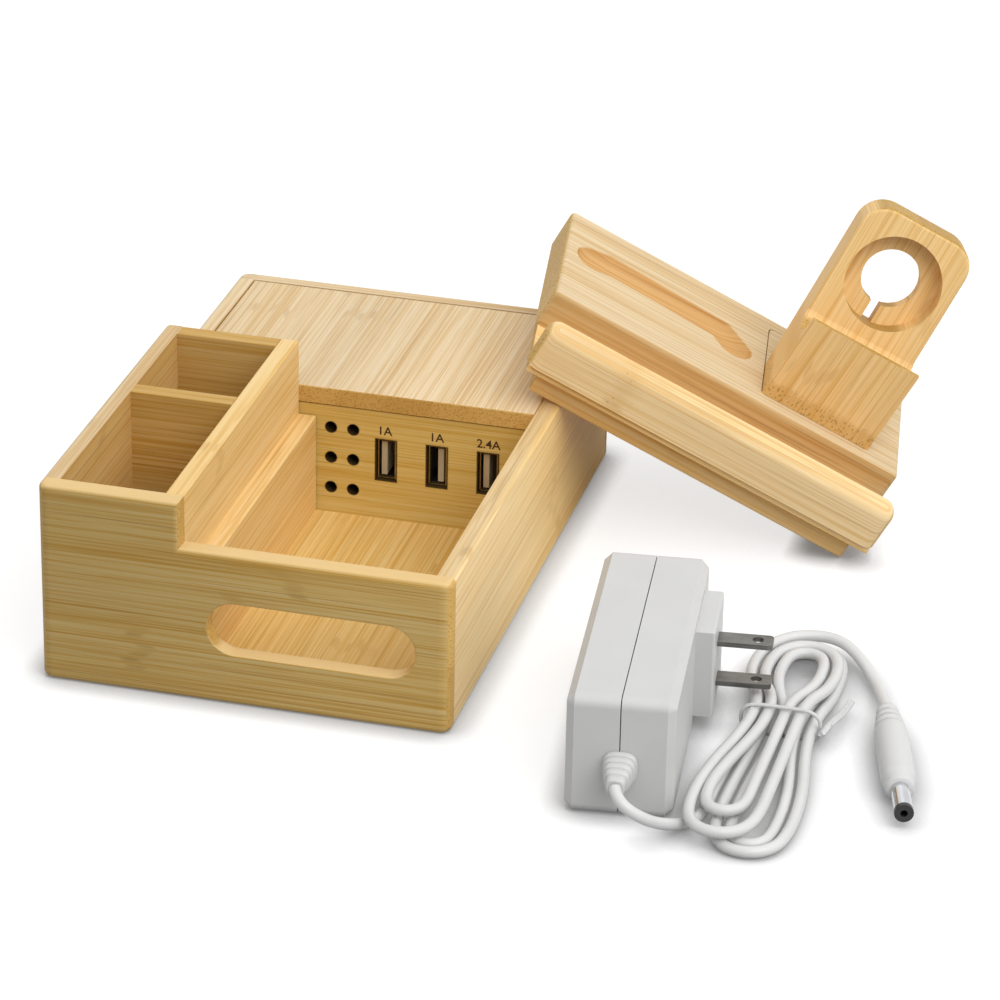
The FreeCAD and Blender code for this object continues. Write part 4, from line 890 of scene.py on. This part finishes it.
def add_tie():
    """The loop round the waist, two strands twisted at the knot, and a flat tail of three strands."""
    heading = Vector((math.cos(TIE_TURN), math.sin(TIE_TURN), 0))
    side = Vector((-heading.y, heading.x, 0))
    lines = [[on_hank((WAIST_AT, across, up)) for across, up in TIE_LOOP]]
    count = TIE_TWIST_TURNS * TIE_TWIST_STEPS
    for phase in (0, math.pi):
        strand = []
        for n in range(count + 1):
            turn = phase + 2 * math.pi * n / TIE_TWIST_STEPS
            around = (side * math.cos(turn) + Z_AXIS * math.sin(turn)) * TIE_RADIUS
            strand.append(on_hank(TIE_KNOT + heading * (TIE_TWIST * n / count) + around))
        lines.append(strand)
    for aside in TIE_WIRES:
        start = TIE_KNOT + heading * TIE_TWIST + side * aside
        lines.append([on_hank(start + heading * ahead + Z_AXIS * up) for ahead, up in TIE_TAIL])
    data = smooth_curve("tie", lines, TIE_RADIUS * MM)
    return add("tie", data, scuffed("tie_white"), "adapter", "cord_white", "twist_tie")


# Port marks: text and place across the panel, then level, size, weight, depth and face, in millimetres
MARKS = [("1A", -8.6), ("1A", -25.1), ("2.4A", -41.5)]
MARK_LEVEL = 35.4
MARK_SIZE = 4.0
MARK_WEIGHT = 0.06
MARK_DEPTH = 0.01
MARK_FACE = 19.99
MARK_TURN = Matrix(((0, 0, -1), (-1, 0, 0), (0, 1, 0))).to_4x4()


def add_marks():
    ink = scuffed("mark_brown")
    for n, (text, across) in enumerate(MARKS, 1):
        data = bpy.data.curves.new(f"mark_{n}", "FONT")
        data.body = text
        data.size = MARK_SIZE * MM
        data.align_x = "CENTER"
        data.align_y = "CENTER"
        data.extrude = MARK_DEPTH * MM
        data.offset = MARK_WEIGHT * MM
        place = Matrix.Translation(Vector((MARK_FACE, across, MARK_LEVEL)) * MM) @ MARK_TURN
        add(f"mark_{n}", data, ink, "tray", "bamboo", place=place)


def seen_rays(tree):
    """One for camera, glossy and transmitted rays, else nothing."""
    path = tree.nodes.new("ShaderNodeLightPath")
    total = path.outputs["Is Camera Ray"]
    for name in ("Is Glossy Ray", "Is Transmission Ray"):
        largest = tree.nodes.new("ShaderNodeMath")
        largest.operation = "MAXIMUM"
        tree.links.new(total, largest.inputs[0])
        tree.links.new(path.outputs[name], largest.inputs[1])
        total = largest.outputs[0]
    return total


def diffuse(tree, level):
    """A plain grey surface."""
    made = tree.nodes.new("ShaderNodeBsdfDiffuse")
    made.inputs["Color"].default_value = (level, level, level, 1)
    return made.outputs[0]


def floor_material():
    """Pale ground that shows its shadows, and a painted contact shadow, a narrow dark band close under the
    object.
    """
    material = bpy.data.materials.new("floor")
    material.use_nodes = True
    tree = material.node_tree
    tree.nodes.clear()
    contact_shadow = tree.nodes.new("ShaderNodeAmbientOcclusion")
    contact_shadow.samples = CONTACT_SAMPLES
    contact_shadow.inputs["Distance"].default_value = CONTACT_REACH
    level = tree.nodes.new("ShaderNodeMapRange")
    tree.links.new(contact_shadow.outputs["AO"], level.inputs["Value"])
    level.inputs["From Min"].default_value = CONTACT_START
    level.inputs["To Min"].default_value = CONTACT_SHADOW_DARK * FLOOR_GLOW
    level.inputs["To Max"].default_value = FLOOR_GLOW
    glow = tree.nodes.new("ShaderNodeEmission")
    tree.links.new(level.outputs[0], glow.inputs["Strength"])
    bright = tree.nodes.new("ShaderNodeAddShader")
    tree.links.new(diffuse(tree, FLOOR_SHADE), bright.inputs[0])
    tree.links.new(glow.outputs[0], bright.inputs[1])
    choice = tree.nodes.new("ShaderNodeMixShader")
    tree.links.new(seen_rays(tree), choice.inputs[0])
    tree.links.new(diffuse(tree, FLOOR_BOUNCE), choice.inputs[1])
    tree.links.new(bright.outputs[0], choice.inputs[2])
    output = tree.nodes.new("ShaderNodeOutputMaterial")
    tree.links.new(choice.outputs[0], output.inputs["Surface"])
    return material


def add_floor():
    data = bpy.data.meshes.new("floor")
    signs = ((-1, -1), (1, -1), (1, 1), (-1, 1))
    corners = [(FLOOR_HALF * x, FLOOR_HALF * y, -FLOOR_DROP) for x, y in signs]
    data.from_pydata(corners, [], [(0, 1, 2, 3)])
    data.materials.append(floor_material())
    floor = bpy.data.objects.new("floor", data)
    bpy.context.scene.collection.objects.link(floor)


def add_sun(name, source, level, spread):
    data = bpy.data.lights.new(name, "SUN")
    data.energy = level
    data.angle = math.radians(spread)
    lamp = bpy.data.objects.new(name, data)
    lamp.rotation_euler = source.to_track_quat("Z", "Y").to_euler()
    bpy.context.scene.collection.objects.link(lamp)


def add_world():
    """Plain light on the object, and white where the camera looks past it."""
    world = bpy.data.worlds.new("studio")
    world.use_nodes = True
    bpy.context.scene.world = world
    tree = world.node_tree
    sky = tree.nodes["Background"]
    sky.inputs["Color"].default_value = (1, 1, 1, 1)
    level = tree.nodes.new("ShaderNodeMapRange")
    tree.links.new(seen_rays(tree), level.inputs["Value"])
    level.inputs["To Min"].default_value = WORLD_LEVEL
    tree.links.new(level.outputs[0], sky.inputs["Strength"])


def add_camera():
    data = bpy.data.cameras.new("camera")
    data.sensor_fit = "HORIZONTAL"
    data.sensor_width = SENSOR_WIDTH
    data.lens = FOCAL_PIXELS / IMAGE_WIDTH * SENSOR_WIDTH
    camera = bpy.data.objects.new("camera", data)
    turn = Matrix((EYE_RIGHT, -EYE_DOWN, -EYE_AHEAD)).transposed()
    camera.matrix_world = Matrix.Translation(EYE) @ turn.to_4x4()
    bpy.context.scene.collection.objects.link(camera)
    bpy.context.scene.camera = camera


def add_stage():
    bpy.context.scene.view_settings.view_transform = "Standard"
    add_world()
    add_sun("key", KEY_FROM, KEY_LEVEL, KEY_SPREAD)
    add_sun("overhead", OVERHEAD_FROM, OVERHEAD_LEVEL, OVERHEAD_SPREAD)
    add_sun("fill", FILL_FROM, FILL_LEVEL, FILL_SPREAD)
    add_floor()
    add_camera()


add_stage()
add_cord()
dress_tray()
dress_dock()
dress_small()
add_marks()

bpy.context.view_layer.update()
